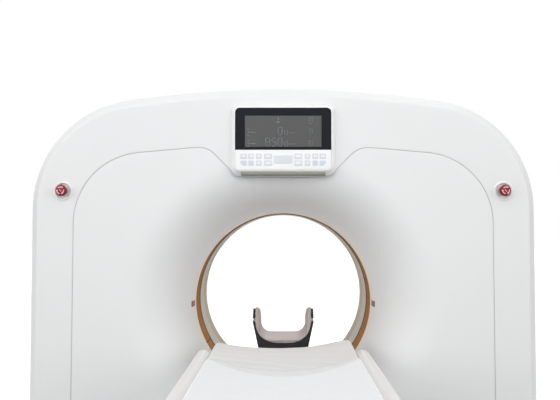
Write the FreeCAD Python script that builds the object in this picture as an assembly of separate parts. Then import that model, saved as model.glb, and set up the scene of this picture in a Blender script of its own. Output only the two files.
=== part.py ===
"""CT scanner: a fixed gantry with a spinning rotor, and a patient table whose cradle runs into its bore.

Frame: millimetres, +Z up, +Y along the bore from the patient table towards the rear of the gantry.
The origin is on the floor, straight below the isocentre, where the bore's axis meets the scan plane.
"""

import FreeCAD
import Part

import math
import os

V = FreeCAD.Vector
X_AXIS, Y_AXIS, Z_AXIS = V(1, 0, 0), V(0, 1, 0), V(0, 0, 1)

# ---- driving dimensions: the gantry ----
iso_height = 1000.0  # bore axis above the floor
bore_r = 350.0
gantry_half_width = 912.0
gantry_rise = 800.0  # crown above the bore's axis
gantry_top = iso_height + gantry_rise
crown_r = 3850.0  # shallow arc across the top
shoulder_r = 400.0  # outer corner between side and crown
front_face_y = -395.0
rear_face_y = 480.0
cover_bottom = 90.0
cover_wall = 6.0
edge_inset = 36.0  # bevel round the front and rear faces
edge_depth = 56.0
rim_depth = 22.0  # straight rim behind the bevel
cover_gap = 3.0  # shadow line between neighbouring covers
lip_t = 4.0  # lip that reaches behind the neighbouring cover
lip_reach = 12.0
top_cover_height = 380.0
side_split_z = gantry_top - top_cover_height  # side covers end here and the top cover begins
plinth_inset = 40.0
running_gap = 0.3
cut_past = 1.0  # how far a cutting shape reaches past what it cuts

# bore, from front to rear
window_width = 130.0  # tinted scan window, centred on the scan plane
window_wall = 2.5
liner_length = 240.0
front_mouth_r = bore_r + 210.0  # the funnel meets the flat face here
funnel_steps = (7, 2)  # stretches of the bell mouth on its shown and hidden side
rear_throat = (bore_r + 42.0, 50.0)  # radius of the rear opening, and its depth, before the last flare
rear_mouth_r = bore_r + 90.0
flange_depth = 26.0  # turned-in edge of the two centre covers
opening_lip = 44.0  # turned-in edge of the two fascias' openings
ledge_top = iso_height + 200.0  # the ledges that carry the centre covers end here

# centre cover outline
panel_half_width = gantry_half_width - 167.5
panel_shoulder_z = gantry_top - 262.4  # where the side line and the sloping top line would cross
panel_shoulder_r = 250.0
panel_notch_top = (272.7, gantry_top - 220.3)  # the top line turns down here, towards the display
panel_notch_top_r = 80.0
panel_notch_half = 165.0
panel_notch_z = gantry_top - 328.0
panel_notch_r = 50.0
rear_panel_peak_z = gantry_top - 196.0
rear_panel_peak_r = 2000.0

# vents
vent_rows = 9
vent_pitch = 26.0
vent_slot = (150.0, 9.0)
vent_start_z = 260.0
vent_y = (-130.0, 215.0)
top_vent_count = 11
top_vent_pitch = 30.0
top_vent_slot = (12.0, 150.0)
top_vent_y = 300.0

# display and keypad
display_half_width = 174.5
display_top = gantry_top - 80.0
display_bottom = display_top - 228.2
display_depth = 28.0
display_skirt = 12.0  # the housing is this much wider at its back
display_chamfer = 12.0
display_back_chamfer = 25.0
glass_corner_r = 15.0
display_pocket = 2.5
glass_proud = 0.4
screen_recess = 0.6
screen_depth = 8.0
key_well = 6.0
glass_half_width = 169.5
glass_bottom = display_top - 153.5
glass_margin = 4.5
screen_half_width = 135.5
screen_top = display_top - 32.0
screen_bottom = screen_top - 111.5
overlay_margin = 5.0
key_height = 0.9
key_rows = (display_bottom + 51.5, display_bottom + 27.5)
key_size_z = 19.0
key_columns = ((53.0, 28.5), (86.0, 19.0), (113.0, 20.0), (139.5, 22.0))  # centre and width
key_cut = 10.0  # the slanted corner of the outermost lower keys
start_key = (65.0, 28.0)  # width and height of the large middle key
start_key_z = display_bottom + 41.1
start_key_rise = 2.2
start_key_travel = 1.2
start_key_clearance = 0.5

# emergency stops
estop_x = gantry_half_width - 128.0
estop_z = gantry_top - 377.0
estop_hole_r = 31.0
estop_flange_r = 34.5
estop_flange_t = 2.5
estop_dish_depth = 12.0
estop_head_r = 20.5
estop_head_t = 15.0
estop_stand_off = 28.0  # from the cover's face to the head's crown
estop_crown_t = 5.0
estop_floor_t = 4.0
estop_dish_wall = 4.0
estop_shaft_half = 8.0
estop_tail = 34.0  # how far the plunger reaches behind the dish

# side positioning-laser windows in the front tunnel
laser_window = (52.0, 22.0)  # along the bore, and up
laser_window_y = -125.0
laser_window_drop = 6.0  # below the isocentre
laser_window_proud = 1.0

# stator and rotor
base_sill_x = gantry_half_width - 272.0
base_sill = (180.0, 650.0, 90.0)
base_beam = (140.0, 80.0)
base_beam_y = 210.0
base_foot = (120.0, 22.0)  # width and thickness of an anchor foot
anchor_x = gantry_half_width - 142.0
anchor_y = 265.0
anchor_r = 11.0
stator_outer_r = gantry_rise - 55.0
stator_arch_z = 175.0
bearing_outer_r = 560.0
bearing_inner_r = bearing_outer_r - 90.0
stator_y = (110.0, 184.0)
rotor_r = stator_outer_r - 55.0
rotor_bore_r = bore_r + 52.0
rotor_disc_y = (62.0, 108.0)
slip_ring_t = 18.0
slip_ring_r = (rotor_bore_r + 2.0, bearing_inner_r - 2.0)
brush_foot_y = (190.0, 214.0)
brush_half = 60.0
brush_share = 0.8  # of the slip ring's width
brush_foot_z = (8.0, 50.0)  # beyond the bearing's seat
tube_orbit = rotor_bore_r + 143.0
tube_r = 118.0
tube_y = (-185.0, rotor_disc_y[0])
collimator_half = (90.0, 48.0)
collimator_slot_half = (70.0, 8.0)
collimator_overlap = 12.0  # it reaches this far up round the tube
detector_r = tube_orbit + rotor_bore_r + 13.0  # from the tube's focus
detector_t = 110.0
detector_half_angle = 26.0
detector_half_width = 62.0
side_unit = (230.0, 260.0)  # radial and tangential size of the side units
side_unit_r = rotor_bore_r + 23.0
side_unit_front = -180.0
cooler_fin_count = 6
cooler_slot = (60.0, 14.0)
weight_angle = 38.0  # from straight down, each side
weight_span = 11.0
weight_r = (rotor_r - 60.0, rotor_r - 6.0)
weight_front = -60.0
pulley_x = -560.0
pulley_z = 268.0
pulley_r = 62.0
pulley_shaft_r = 14.0
pulley_shaft_room = 4.0
pulley_y = (64.0, 106.0)
belt_y = (68.0, 102.0)
belt_t = 5.0
motor_half = 85.0
motor_length = 190.0
motor_plate_t = 12.0
motor_shaft_reach = 30.0

# ---- driving dimensions: the patient table ----
table_top = iso_height - 150.0  # side rails' upper edge
table_half_width = 309.0
table_depth = 110.0
table_front_y = front_face_y + 73.0
table_length = 2250.0
rail_wall = 34.0  # side rail thickness
tray_floor = 14.0
nose_length = 60.0
nose_corner_r = 45.0
tray_edge_r = 14.0
rail_flat = 27.0  # width of a side rail's level top, outside its sloped inner edge
rail_lip = (14.0, 28.0)  # depth below the rail's top where its sloped edge ends, and where the lip under it ends
rail_lip_gap = 4.5  # between that lip and the cloth beside it
foot_wall_t = 12.0
foot_wall_inset = 10.0
foot_wall_z = (4.0, 70.0)  # above the tray's underside
cradle_half_width = table_half_width - rail_wall - 23.0
cradle_t = 14.0
cradle_low = iso_height - 230.0  # underside in the middle
cradle_sag = 27.0  # rise of the trough from its middle to its edges
cradle_length = table_length + 80.0
cradle_head_y = 20.0
cradle_foot_y = cradle_head_y - cradle_length
cradle_head_half = 130.0
cradle_taper_y = cradle_head_y - 260.0
cradle_corner_r = (40.0, 200.0, 30.0)  # at the foot end, at the taper and at the head end
mattress_t = 48.0
mattress_half_width = cradle_half_width + 7.0
mattress_front_y = cradle_head_y - 240.0
mattress_foot_y = cradle_foot_y + 20.0
mattress_edge = 9.0
mattress_corner = 20.0
sheet_t = 1.6
sheet_front_y = -623.0
sheet_foot_y = mattress_foot_y + 20.0
sheet_drop = 34.0  # how far it hangs down the mattress's sides
rail_lip_half = mattress_half_width + sheet_t + rail_lip_gap
slide_rail = (34.0, 14.0)  # width and height of the fixed rails under the cradle
slide_rail_x = 150.0
slide_rail_end = 40.0  # kept clear at the tray's ends
glide_pad_length = 46.0
runner_width = 44.0
runner_y = (cradle_foot_y + 60.0, cradle_foot_y + 660.0)

# lifting column and its telescoping covers
pedestal_y = (table_front_y - table_length + 792.0, table_front_y - 438.0)
pedestal_half = table_half_width - 73.0
pedestal_chamfer = 40.0
skirt_wall = 4.0
skirt_gap = 0.8
lower_skirt_top = 300.0
mid_skirt = (225.0, 530.0)
upper_skirt_bottom = 450.0
column_half = 150.0
column_wall = 12.0
column_slide_gap = 0.5
outer_column_top = 310.0
mid_column = (215.0, 535.0)
inner_column_bottom = 440.0
pedestal_length = pedestal_y[1] - pedestal_y[0]
base_plate = (2 * pedestal_half + 88.0, pedestal_length + 140.0, 14.0)
table_anchor = (2 * pedestal_half + 28.0, pedestal_length + 70.0)
table_anchor_r = 9.0
duct_half = 90.0
duct_height = 30.0
duct_wall = 4.0
duct_slope = 30.0  # each side's width in plan
lift_motor_size = (110.0, 190.0, 120.0)
cradle_motor_size = (120.0, 160.0, 90.0)
motor_column_gap = 20.0

# head holder, in heights from the isocentre
holder_y = (65.0, 315.0)
holder_bottom = -232.0
holder_bottom_half = 101.0
holder_lip = -102.0
holder_lip_half = 129.0
holder_arm_top = -48.0
holder_arm_half = 126.0
holder_wall = 5.0
holder_corner_r = (8.0, 20.0, 2.0)  # at the foot, at the lip and at the arm's top
holder_hollow_r = 96.0
holder_seat = -198.0
holder_slot = (14.0, 205.0)  # height, and length from the near end
holder_slot_rise = 5.0  # its middle above the lip
holder_arm_fall = 34.0  # how much lower the arms' tops are at the far end
pad_floor = -179.0
pad_top = -42.0
pad_inset = 2.0  # from the shell's two ends
pad_arm_t = 22.0
pad_inner_r = 42.0
tongue = (150.0, 8.0)
tongue_reach = 110.0  # how far it reaches into the cradle's socket
tongue_inset = 40.0  # from the holder's far end
socket_wall = 8.0
socket_length = 130.0

ISO = V(0, 0, iso_height)


# ---- small shape helpers ----
def line(a, b):
    return Part.LineSegment(a, b).toShape()


def arc(a, mid, b):
    return Part.Arc(a, mid, b).toShape()


def box(x, y, z):
    """Block from three (low, high) pairs."""
    return Part.makeBox(x[1] - x[0], y[1] - y[0], z[1] - z[0], V(x[0], y[0], z[0]))


def span(middle, width):
    return (middle - width / 2, middle + width / 2)


def beyond(pair, by=cut_past):
    """The same range, longer by that much at both ends."""
    return (pair[0] - by, pair[1] + by)


def ordered(a, b):
    return (min(a, b), max(a, b))


def cylinder(r, y, centre):
    """Cylinder along +Y between the two y values."""
    return Part.makeCylinder(r, y[1] - y[0], V(centre.x, y[0], centre.z), Y_AXIS)


def ring(outer, inner, y, centre=ISO):
    return cylinder(outer, y, centre).cut(cylinder(inner, beyond(y), centre))


def rounded_wire(corners, place):
    """Closed wire through corners (u, v, radius), each rounded. place turns (u, v) into a point."""
    count = len(corners)
    starts, ends, mids = [], [], []
    for i, (u, v, r) in enumerate(corners):
        before, after = corners[i - 1], corners[(i + 1) % count]
        here = V(u, v, 0)
        towards = (V(before[0], before[1], 0) - here).normalize()
        away = (V(after[0], after[1], 0) - here).normalize()
        half = towards.getAngle(away) / 2
        cut = r / math.tan(half) if r else 0
        starts.append(here + towards * cut)
        ends.append(here + away * cut)
        bisector = towards + away
        mids.append(here + bisector.normalize() * (r / math.sin(half) - r) if r else here)
    edges = []
    for i in range(count):
        if corners[i][2]:
            edges.append(arc(place(starts[i]), place(mids[i]), place(ends[i])))
        following = starts[(i + 1) % count]
        if (following - ends[i]).Length > 1e-6:
            edges.append(line(place(ends[i]), place(following)))
    return Part.Wire(edges)


def prism_y(corners, y):
    """Rounded outline in X and Z, carried along +Y."""
    wire = rounded_wire(corners, lambda p: V(p.x, y[0], p.y))
    return Part.Face(wire).extrude(V(0, y[1] - y[0], 0))


def prism_z(corners, z):
    """Rounded outline in X and Y, carried up +Z."""
    wire = rounded_wire(corners, lambda p: V(p.x, p.y, z[0]))
    return Part.Face(wire).extrude(V(0, 0, z[1] - z[0]))


def rectangle(u, v, r=0.0):
    return [(u[0], v[0], r), (u[1], v[0], r), (u[1], v[1], r), (u[0], v[1], r)]


def chamfered(u, v, cut):
    """Outline of a rectangle with its corners cut off."""
    low = [(u[0] + cut, v[0], 0.0), (u[1] - cut, v[0], 0.0), (u[1], v[0] + cut, 0.0)]
    high = [(u[1], v[1] - cut, 0.0), (u[1] - cut, v[1], 0.0), (u[0] + cut, v[1], 0.0)]
    return low + high + [(u[0], v[1] - cut, 0.0), (u[0], v[0] + cut, 0.0)]


def revolve_bore(points):
    """Turns a closed outline of (radius, y) points about the bore's axis."""
    corners = [V(r, y, iso_height) for r, y in points]
    return Part.Face(Part.makePolygon(corners + corners[:1])).revolve(ISO, Y_AXIS, 360)


def mirror_x(shape):
    return shape.mirror(V(0, 0, 0), X_AXIS)


# ---- gantry covers ----
def gantry_wire(inset, y, bottom=cover_bottom):
    """The gantry's outline in front view, drawn in by inset: straight sides, shoulders and shallow crown."""
    half = gantry_half_width - inset
    shoulder = shoulder_r - inset
    crown = crown_r - inset
    shoulder_x = gantry_half_width - shoulder_r
    crown_z = gantry_top - crown_r
    shoulder_z = crown_z + math.sqrt((crown_r - shoulder_r) ** 2 - shoulder_x**2)
    lean = math.atan2(shoulder_x, shoulder_z - crown_z)
    joint = (crown * math.sin(lean), crown_z + crown * math.cos(lean))
    middle = (lean + math.pi / 2) / 2
    bend = (shoulder_x + shoulder * math.sin(middle), shoulder_z + shoulder * math.cos(middle))

    def at(x, z):
        return V(x, y, z)

    return Part.Wire(
        [
            line(at(-half, bottom), at(half, bottom)),
            line(at(half, bottom), at(half, shoulder_z)),
            arc(at(half, shoulder_z), at(*bend), at(*joint)),
            arc(at(*joint), at(0, crown_z + crown), at(-joint[0], joint[1])),
            arc(at(-joint[0], joint[1]), at(-bend[0], bend[1]), at(-half, shoulder_z)),
            line(at(-half, shoulder_z), at(-half, bottom)),
        ]
    )


def gantry_prism(inset, y, bottom=cover_bottom):
    return Part.Face(gantry_wire(inset, y[0], bottom)).extrude(V(0, y[1] - y[0], 0))


def bevelled_block(face_y, inward, inset, bottom):
    """Solid with the gantry's outline: the face, its bevel, then the straight rim, inward along +Y or -Y."""
    rim_y = face_y + inward * edge_depth
    wires = [gantry_wire(edge_inset + inset, face_y, bottom), gantry_wire(inset, rim_y, bottom)]
    rim = gantry_prism(inset, ordered(rim_y, rim_y + inward * rim_depth), bottom)
    return Part.makeLoft(wires, True, True).fuse(rim)


def front_panel_corners(grow=0.0):
    """Outline of the front centre cover, notched under the display. grow makes the opening round it."""
    rise = math.atan2(panel_notch_top[1] - panel_shoulder_z, panel_half_width - panel_notch_top[0])
    half = panel_half_width + grow
    shoulder_z = panel_shoulder_z + grow / math.cos(rise) + grow * math.tan(rise)
    slant = (math.pi / 4 + rise) / 2
    top = (panel_notch_top[0] - grow * math.sin(slant), panel_notch_top[1] + grow * math.cos(slant))
    notch_half = panel_notch_half - grow * math.tan(math.pi / 8)
    notch_z = panel_notch_z + grow
    bottom = cover_bottom - grow * 4
    right = [
        (half, bottom, 0.0),
        (half, shoulder_z, panel_shoulder_r + grow),
        (top[0], top[1], panel_notch_top_r + grow),
        (notch_half, notch_z, panel_notch_r - grow),
    ]
    return right + [(-x, z, r) for x, z, r in reversed(right)]


def rear_panel_corners(grow=0.0):
    half = panel_half_width + grow
    bottom = cover_bottom - grow * 4
    return [
        (half, bottom, 0.0),
        (half, panel_shoulder_z + grow, panel_shoulder_r + grow),
        (0.0, rear_panel_peak_z + grow, rear_panel_peak_r),
        (-half, panel_shoulder_z + grow, panel_shoulder_r + grow),
        (-half, bottom, 0.0),
    ]


def fascia(face_y, inward, opening_corners, lip_corners):
    """Outer face cover: bevelled shell, open behind, with a turned-in lip round its opening."""
    hollow = bevelled_block(face_y + inward * cover_wall, inward, cover_wall, cover_bottom + cover_wall)
    shell = bevelled_block(face_y, inward, 0.0, cover_bottom).cut(hollow)
    lip = prism_y(lip_corners, ordered(face_y + inward * cover_wall / 2, face_y + inward * opening_lip))
    lip = lip.common(gantry_prism(edge_inset + cover_wall, (front_face_y, rear_face_y)))
    opening = prism_y(opening_corners, ordered(face_y - inward * 10, face_y + inward * 100))
    shape = shell.fuse(lip).cut(opening)
    seat_y = face_y + inward * (flange_depth + running_gap)
    ledge_y = ordered(seat_y, seat_y + inward * lip_t)
    for side in (-1, 1):
        outer = panel_half_width + cover_gap + cover_wall / 2
        x = ordered(side * (panel_half_width - cover_wall), side * outer)
        shape = shape.fuse(box(x, ledge_y, (cover_bottom, ledge_top)))
    return shape.removeSplitter()


def front_fascia():
    corners = [front_panel_corners(g) for g in (cover_gap, cover_gap + cover_wall)]
    shape = fascia(front_face_y, 1, corners[0], corners[1])
    for side in (-1, 1):
        centre = V(side * estop_x, 0, estop_z)
        through = beyond((front_face_y, front_face_y + cover_wall))
        shape = shape.cut(cylinder(estop_hole_r + running_gap, through, centre))
    return shape


def rear_fascia():
    corners = [rear_panel_corners(g) for g in (cover_gap, cover_gap + cover_wall)]
    return fascia(rear_face_y, -1, corners[0], corners[1])


def front_funnel_r(y):
    """Radius of the front funnel's skin at y: a quarter of an ellipse from the bore to the face."""
    share = (-window_width / 2 - y) / (-window_width / 2 - front_face_y)
    return front_mouth_r - (front_mouth_r - bore_r) * math.sqrt(1 - share**2)


def front_funnel():
    """Disc turned about the bore: flat face, then a bell mouth that follows a quarter ellipse."""
    tunnel_y = -window_width / 2
    reach = panel_half_width + iso_height

    def mouth(wall, steps):
        points = []
        for i in range(steps + 1):
            angle = math.pi / 2 * i / steps
            r = front_mouth_r - (front_mouth_r - bore_r - wall) * math.cos(angle)
            points.append((r, tunnel_y + (front_face_y + wall - tunnel_y) * math.sin(angle)))
        return points

    shown, hidden = mouth(0.0, funnel_steps[0]), mouth(cover_wall, funnel_steps[1])
    rim = [(reach, front_face_y + cover_wall), (reach, front_face_y)]
    return revolve_bore(hidden + rim + list(reversed(shown)))


def rear_funnel():
    """Disc turned about the bore: flat face, then two short flares down to the liner."""
    tunnel_y = window_width / 2 + liner_length
    throat_y = rear_face_y - rear_throat[1]
    reach = panel_half_width + iso_height
    return revolve_bore(
        [
            (reach, rear_face_y),
            (rear_mouth_r, rear_face_y),
            (rear_throat[0], throat_y),
            (bore_r, tunnel_y),
            (bore_r + cover_wall, tunnel_y),
            (rear_throat[0] + cover_wall, throat_y),
            (rear_mouth_r, rear_face_y - cover_wall),
            (reach, rear_face_y - cover_wall),
        ]
    )


def centre_cover(turned, face_y, inward, corners, mouth_r):
    """Centre cover: the turned funnel cut to the cover's outline, with a turned-in edge."""
    block = prism_y(corners, beyond((front_face_y, rear_face_y)))
    edge_y = ordered(face_y + inward * cover_wall / 2, face_y + inward * flange_depth)
    outline = Part.Face(rounded_wire(corners, lambda p: V(p.x, edge_y[0], p.y)))
    inner = outline.makeOffset2D(-cover_wall, 2)
    flange = outline.cut(inner).extrude(V(0, edge_y[1] - edge_y[0], 0))
    mouth = cylinder(mouth_r, beyond(edge_y), ISO)
    return turned.common(block).fuse(flange.cut(mouth)).removeSplitter()


def front_funnel_cover():
    shape = centre_cover(front_funnel(), front_face_y, 1, front_panel_corners(), front_mouth_r)
    for side in (-1, 1):
        shape = shape.cut(laser_window_block(side, running_gap))
    return shape


def rear_funnel_cover():
    return centre_cover(rear_funnel(), rear_face_y, -1, rear_panel_corners(), rear_mouth_r)


def laser_window_block(side, grow=0.0):
    """Slab across the funnel's side wall where a positioning laser shines out."""
    far_r = front_funnel_r(laser_window_y - laser_window[0] / 2) + 3 * cover_wall
    x = (bore_r / 2, far_r) if side > 0 else (-far_r, -bore_r / 2)
    z = iso_height - laser_window_drop
    return box(x, span(laser_window_y, laser_window[0] + 2 * grow), span(z, laser_window[1] + 2 * grow))


def laser_windows():
    """Two tinted windows with the funnel wall's slant, standing a little proud of it."""
    near_y, far_y = span(laser_window_y, laser_window[0])
    near_r = front_funnel_r(near_y) - laser_window_proud
    far_r = front_funnel_r(far_y) - laser_window_proud
    inner = [(near_r, near_y), (far_r, far_y)]
    outer = [(far_r + cover_wall, far_y), (near_r + cover_wall, near_y)]
    shell = revolve_bore(inner + outer)
    return Part.makeCompound([shell.common(laser_window_block(side)) for side in (-1, 1)])


def cover_ring(insets, y, z, reach=gantry_half_width + 10):
    """Stretch of the band between two insets of the gantry's outline, cut to a range of y, of z and of x."""
    outer = gantry_prism(insets[0], y, cover_bottom - 1)
    inner = gantry_prism(insets[1], beyond(y), cover_bottom - 2)
    return outer.cut(inner).common(box((-reach, reach), y, z))


def wrap_band(z, lip_half):
    """Band that joins the two fascias, between two heights. Within lip_half, lips reach behind them."""
    rim = edge_depth + rim_depth
    y = (front_face_y + rim + cover_gap, rear_face_y - rim - cover_gap)
    shape = cover_ring((0.0, cover_wall), y, z)
    lips = (cover_wall + running_gap, cover_wall + running_gap + lip_t)
    lip_z = (z[0] + cover_wall + running_gap, z[1])  # clear of the fascia's turned-in lower edge
    for start, end in ((y[0] - lip_reach, y[0]), (y[1], y[1] + lip_reach)):
        shape = shape.fuse(cover_ring(lips, (start, end), lip_z, lip_half))
        seat = (end, end + lip_reach) if end == y[0] else (start - lip_reach, start)
        shape = shape.fuse(cover_ring((cover_wall, lips[1]), seat, lip_z, lip_half))
    return shape


def side_cover(side):
    """One side of the band, with two blocks of vent slots low down."""
    band = wrap_band((cover_bottom, side_split_z - cover_gap), gantry_half_width)
    shape = band.common(box((0, gantry_half_width + 10), (front_face_y, rear_face_y), (0, gantry_top)))
    for row in range(vent_rows):
        for y in vent_y:
            z = vent_start_z + row * vent_pitch
            x = span(gantry_half_width, 4 * cover_wall)
            shape = shape.cut(box(x, span(y, vent_slot[0]), span(z, vent_slot[1])))
    shape = shape.removeSplitter()
    return shape if side > 0 else mirror_x(shape)


def top_cover():
    """Crown and both shoulders, with exhaust slots towards the rear and a lip behind each side cover."""
    shape = wrap_band((side_split_z, gantry_top + 10), (gantry_half_width - shoulder_r) / 2)
    rim = edge_depth + rim_depth + cover_gap + lip_reach + 1
    y = (front_face_y + rim, rear_face_y - rim)
    lips = (cover_wall + running_gap, cover_wall + running_gap + lip_t)
    shape = shape.fuse(cover_ring((cover_wall, lips[1]), y, (side_split_z, side_split_z + lip_reach)))
    shape = shape.fuse(cover_ring(lips, y, (side_split_z - lip_reach, side_split_z)))
    first = -(top_vent_count - 1) / 2 * top_vent_pitch
    for i in range(top_vent_count):
        x = first + i * top_vent_pitch
        z = (gantry_top - 10 * cover_wall, gantry_top + cover_wall)
        shape = shape.cut(box(span(x, top_vent_slot[0]), span(top_vent_y, top_vent_slot[1]), z))
    return shape.removeSplitter()


def plinth():
    """Recessed kick panel round the gantry's foot, under the fascias."""
    y = (front_face_y + plinth_inset, rear_face_y - plinth_inset)
    x = gantry_half_width - plinth_inset
    outer = box((-x, x), y, (0, cover_bottom))
    inside = beyond((-x, x), -cover_wall)
    return outer.cut(box(inside, beyond(y, -cover_wall), beyond((0, cover_bottom))))


# ---- bore ----
def scan_window():
    """Tinted ring that closes the gap in the bore at the scan plane."""
    half = window_width / 2
    return ring(bore_r + window_wall, bore_r, (-half + running_gap, half - running_gap))


def bore_liner():
    """White tube from the scan window to the rear cover, with a small lip at its far end."""
    start = window_width / 2
    return ring(bore_r + cover_wall, bore_r, (start + running_gap, start + liner_length - running_gap))


# ---- display ----
def display_housing():
    """Housing of the control panel, wider and lower at its back, with pockets for what it carries."""
    front_y = front_face_y - display_depth
    half = display_half_width
    back_half = half + display_skirt
    low = panel_notch_z + cover_gap
    front_corners = chamfered((-half, half), (display_bottom, display_top), display_chamfer)
    back_z = (low, display_top + display_skirt)
    back_corners = chamfered((-back_half, back_half), back_z, display_back_chamfer)
    back = rounded_wire(back_corners, lambda p: V(p.x, front_face_y, p.y))
    front = rounded_wire(front_corners, lambda p: V(p.x, front_y, p.y))
    body = Part.makeLoft([back, front], True, True)
    pocket_z = (display_bottom + overlay_margin, display_top - glass_margin)
    pocket_corners = rectangle((-glass_half_width, glass_half_width), pocket_z, glass_corner_r)
    pocket = prism_y(pocket_corners, (front_y - cut_past, front_y + display_pocket))
    screen_y = (front_y, front_y + display_pocket + screen_depth)
    screen = box((-screen_half_width, screen_half_width), screen_y, (screen_bottom, screen_top))
    key_y = (front_y, front_y + display_pocket + key_well)
    key = box(span(0, start_key[0] + 2 * start_key_clearance), key_y, start_key_hole_z())
    return body.cut(pocket).cut(screen).cut(key)


def start_key_hole_z():
    return span(start_key_z, start_key[1] + 2 * start_key_clearance)


def display_glass():
    """Black front glass as a frame round the screen."""
    front_y = front_face_y - display_depth
    r = glass_corner_r
    top = display_top - glass_margin
    corners = [
        (-glass_half_width, glass_bottom, 0.0),
        (glass_half_width, glass_bottom, 0.0),
        (glass_half_width, top, r),
        (-glass_half_width, top, r),
    ]
    plate = prism_y(corners, (front_y - glass_proud, front_y + display_pocket))
    window = box(
        (-screen_half_width, screen_half_width),
        beyond((front_y, front_y + display_pocket)),
        (screen_bottom, screen_top),
    )
    return plate.cut(window)


def display_screen():
    front_y = front_face_y - display_depth
    return box(
        (-screen_half_width, screen_half_width),
        (front_y + screen_recess, front_y + display_pocket + screen_depth),
        (screen_bottom, screen_top),
    )


def keypad_overlay():
    """Membrane overlay with its sixteen embossed keys in one piece, and the hole for the middle key."""
    front_y = front_face_y - display_depth
    low = display_bottom + overlay_margin
    r = glass_corner_r
    corners = [
        (-glass_half_width, low, r),
        (glass_half_width, low, r),
        (glass_half_width, glass_bottom - running_gap, 0.0),
        (-glass_half_width, glass_bottom - running_gap, 0.0),
    ]
    shape = prism_y(corners, (front_y, front_y + display_pocket))
    face = (front_y - key_height, front_y + display_pocket / 2)
    for x, width in key_columns:
        for row, z in enumerate(key_rows):
            cut = key_cut if row == 1 and x == key_columns[-1][0] else 0.0
            inner, outer = span(x, width)
            low_z, high_z = span(z, key_size_z)
            outline = [(outer, low_z + cut, 0.0), (outer, high_z, 0.0)]
            outline += [(inner, high_z, 0.0), (inner, low_z, 0.0)]
            if cut:
                outline.append((outer - cut, low_z, 0.0))
            key = prism_y(outline, face)
            shape = shape.fuse(key).fuse(mirror_x(key))
    hole = box(
        span(0, start_key[0] + 2 * start_key_clearance),
        beyond((front_y, front_y + display_pocket)),
        start_key_hole_z(),
    )
    return shape.cut(hole)


def start_key_cap():
    """Large middle key. It travels back into the housing."""
    front_y = front_face_y - display_depth
    seat = front_y + display_pocket + key_well - start_key_travel - running_gap
    return prism_y(
        rectangle(span(0, start_key[0]), span(start_key_z, start_key[1]), 3.0),
        (front_y - start_key_rise, seat),
    )


# ---- emergency stops ----
def estop_centre(side):
    return V(side * estop_x, 0, estop_z)


def estop_shaft_block(side, grow, y):
    size = 2 * (estop_shaft_half + grow)
    return box(span(side * estop_x, size), y, span(estop_z, size))


def estop_collars():
    """Two dished rings seated in the front fascia, each with a square guide hole for its plunger."""
    floor_y = front_face_y + estop_dish_depth
    shapes = []
    for side in (-1, 1):
        centre = estop_centre(side)
        collar = cylinder(estop_flange_r, (front_face_y - estop_flange_t, front_face_y), centre)
        collar = collar.fuse(cylinder(estop_hole_r, (front_face_y, floor_y + estop_floor_t), centre))
        dish_y = (front_face_y - 2 * estop_flange_t, floor_y)
        collar = collar.cut(cylinder(estop_hole_r - estop_dish_wall, dish_y, centre))
        guide_y = beyond((floor_y, floor_y + estop_floor_t))
        shapes.append(collar.cut(estop_shaft_block(side, running_gap, guide_y)))
    return Part.makeCompound(shapes)


def estop_plunger(side):
    """Square shaft that slides in the collar and carries the head."""
    head_back = front_face_y - estop_stand_off + estop_head_t
    tail = front_face_y + estop_dish_depth + estop_tail
    return estop_shaft_block(side, 0.0, (head_back + running_gap, tail))


def estop_head(side):
    """Red mushroom head with a bevelled crown. It twists on the plunger to release."""
    centre = estop_centre(side)
    crown_y = front_face_y - estop_stand_off
    rim_y = crown_y + estop_crown_t
    top = V(centre.x, crown_y, centre.z)
    crown = Part.makeCone(estop_head_r - estop_crown_t, estop_head_r, estop_crown_t, top, Y_AXIS)
    return crown.fuse(cylinder(estop_head_r, (rim_y, crown_y + estop_head_t), centre))


# ---- gantry structure ----
def base_frame():
    """Welded floor frame: two sills, two cross beams and four anchor feet with through holes."""
    shapes = []
    holes = []
    foot_end = gantry_half_width - plinth_inset - cover_wall - running_gap
    for side in (-1, 1):
        shapes.append(box(span(side * base_sill_x, base_sill[0]), span(0, base_sill[1]), (0, base_sill[2])))
        beam_z = (base_sill[2] - base_beam[1], base_sill[2])
        shapes.append(box((-base_sill_x, base_sill_x), span(side * base_beam_y, base_beam[0]), beam_z))
        for y in (-anchor_y, anchor_y):
            x = ordered(side * base_sill_x, side * foot_end)
            shapes.append(box(x, span(y, base_foot[0]), (0, base_foot[1])))
            holes.append(Part.makeCylinder(anchor_r, base_foot[1] + 2, V(side * anchor_x, y, -1)))
    frame = shapes[0].multiFuse(shapes[1:]).removeSplitter()
    return frame.cut(Part.makeCompound(holes))


def stator_frame():
    """Upright plate with the bearing's seat through it, standing on the sills on two legs."""
    half = stator_outer_r
    slope = half * (1 - math.tan(math.pi / 8))
    top = iso_height + half
    outline = [
        (half, base_sill[2], 0.0),
        (half, top - slope, 0.0),
        (half - slope, top, 0.0),
        (-half + slope, top, 0.0),
        (-half, top - slope, 0.0),
        (-half, base_sill[2], 0.0),
    ]
    through = beyond(stator_y)
    arch_half = base_sill_x - base_sill[0] / 2
    arch = prism_y(rectangle((-arch_half, arch_half), (base_sill[2] - cut_past, stator_arch_z)), through)
    seat = cylinder(bearing_outer_r, through, ISO)
    return prism_y(outline, stator_y).cut(seat).cut(arch).cut(shaft_way(through))


def shaft_way(y):
    """Square way for the pulley's shaft."""
    size = 2 * (pulley_shaft_r + pulley_shaft_room)
    return box(span(pulley_x, size), y, span(pulley_z, size))


def motor_mount():
    """Plate that carries the drive motor on the stator's leg."""
    y = (stator_y[1], stator_y[1] + motor_plate_t)
    half = motor_half + 4 * running_gap
    return box((-stator_outer_r, pulley_x + half), y, span(pulley_z, 2 * half)).cut(shaft_way(beyond(y)))


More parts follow.
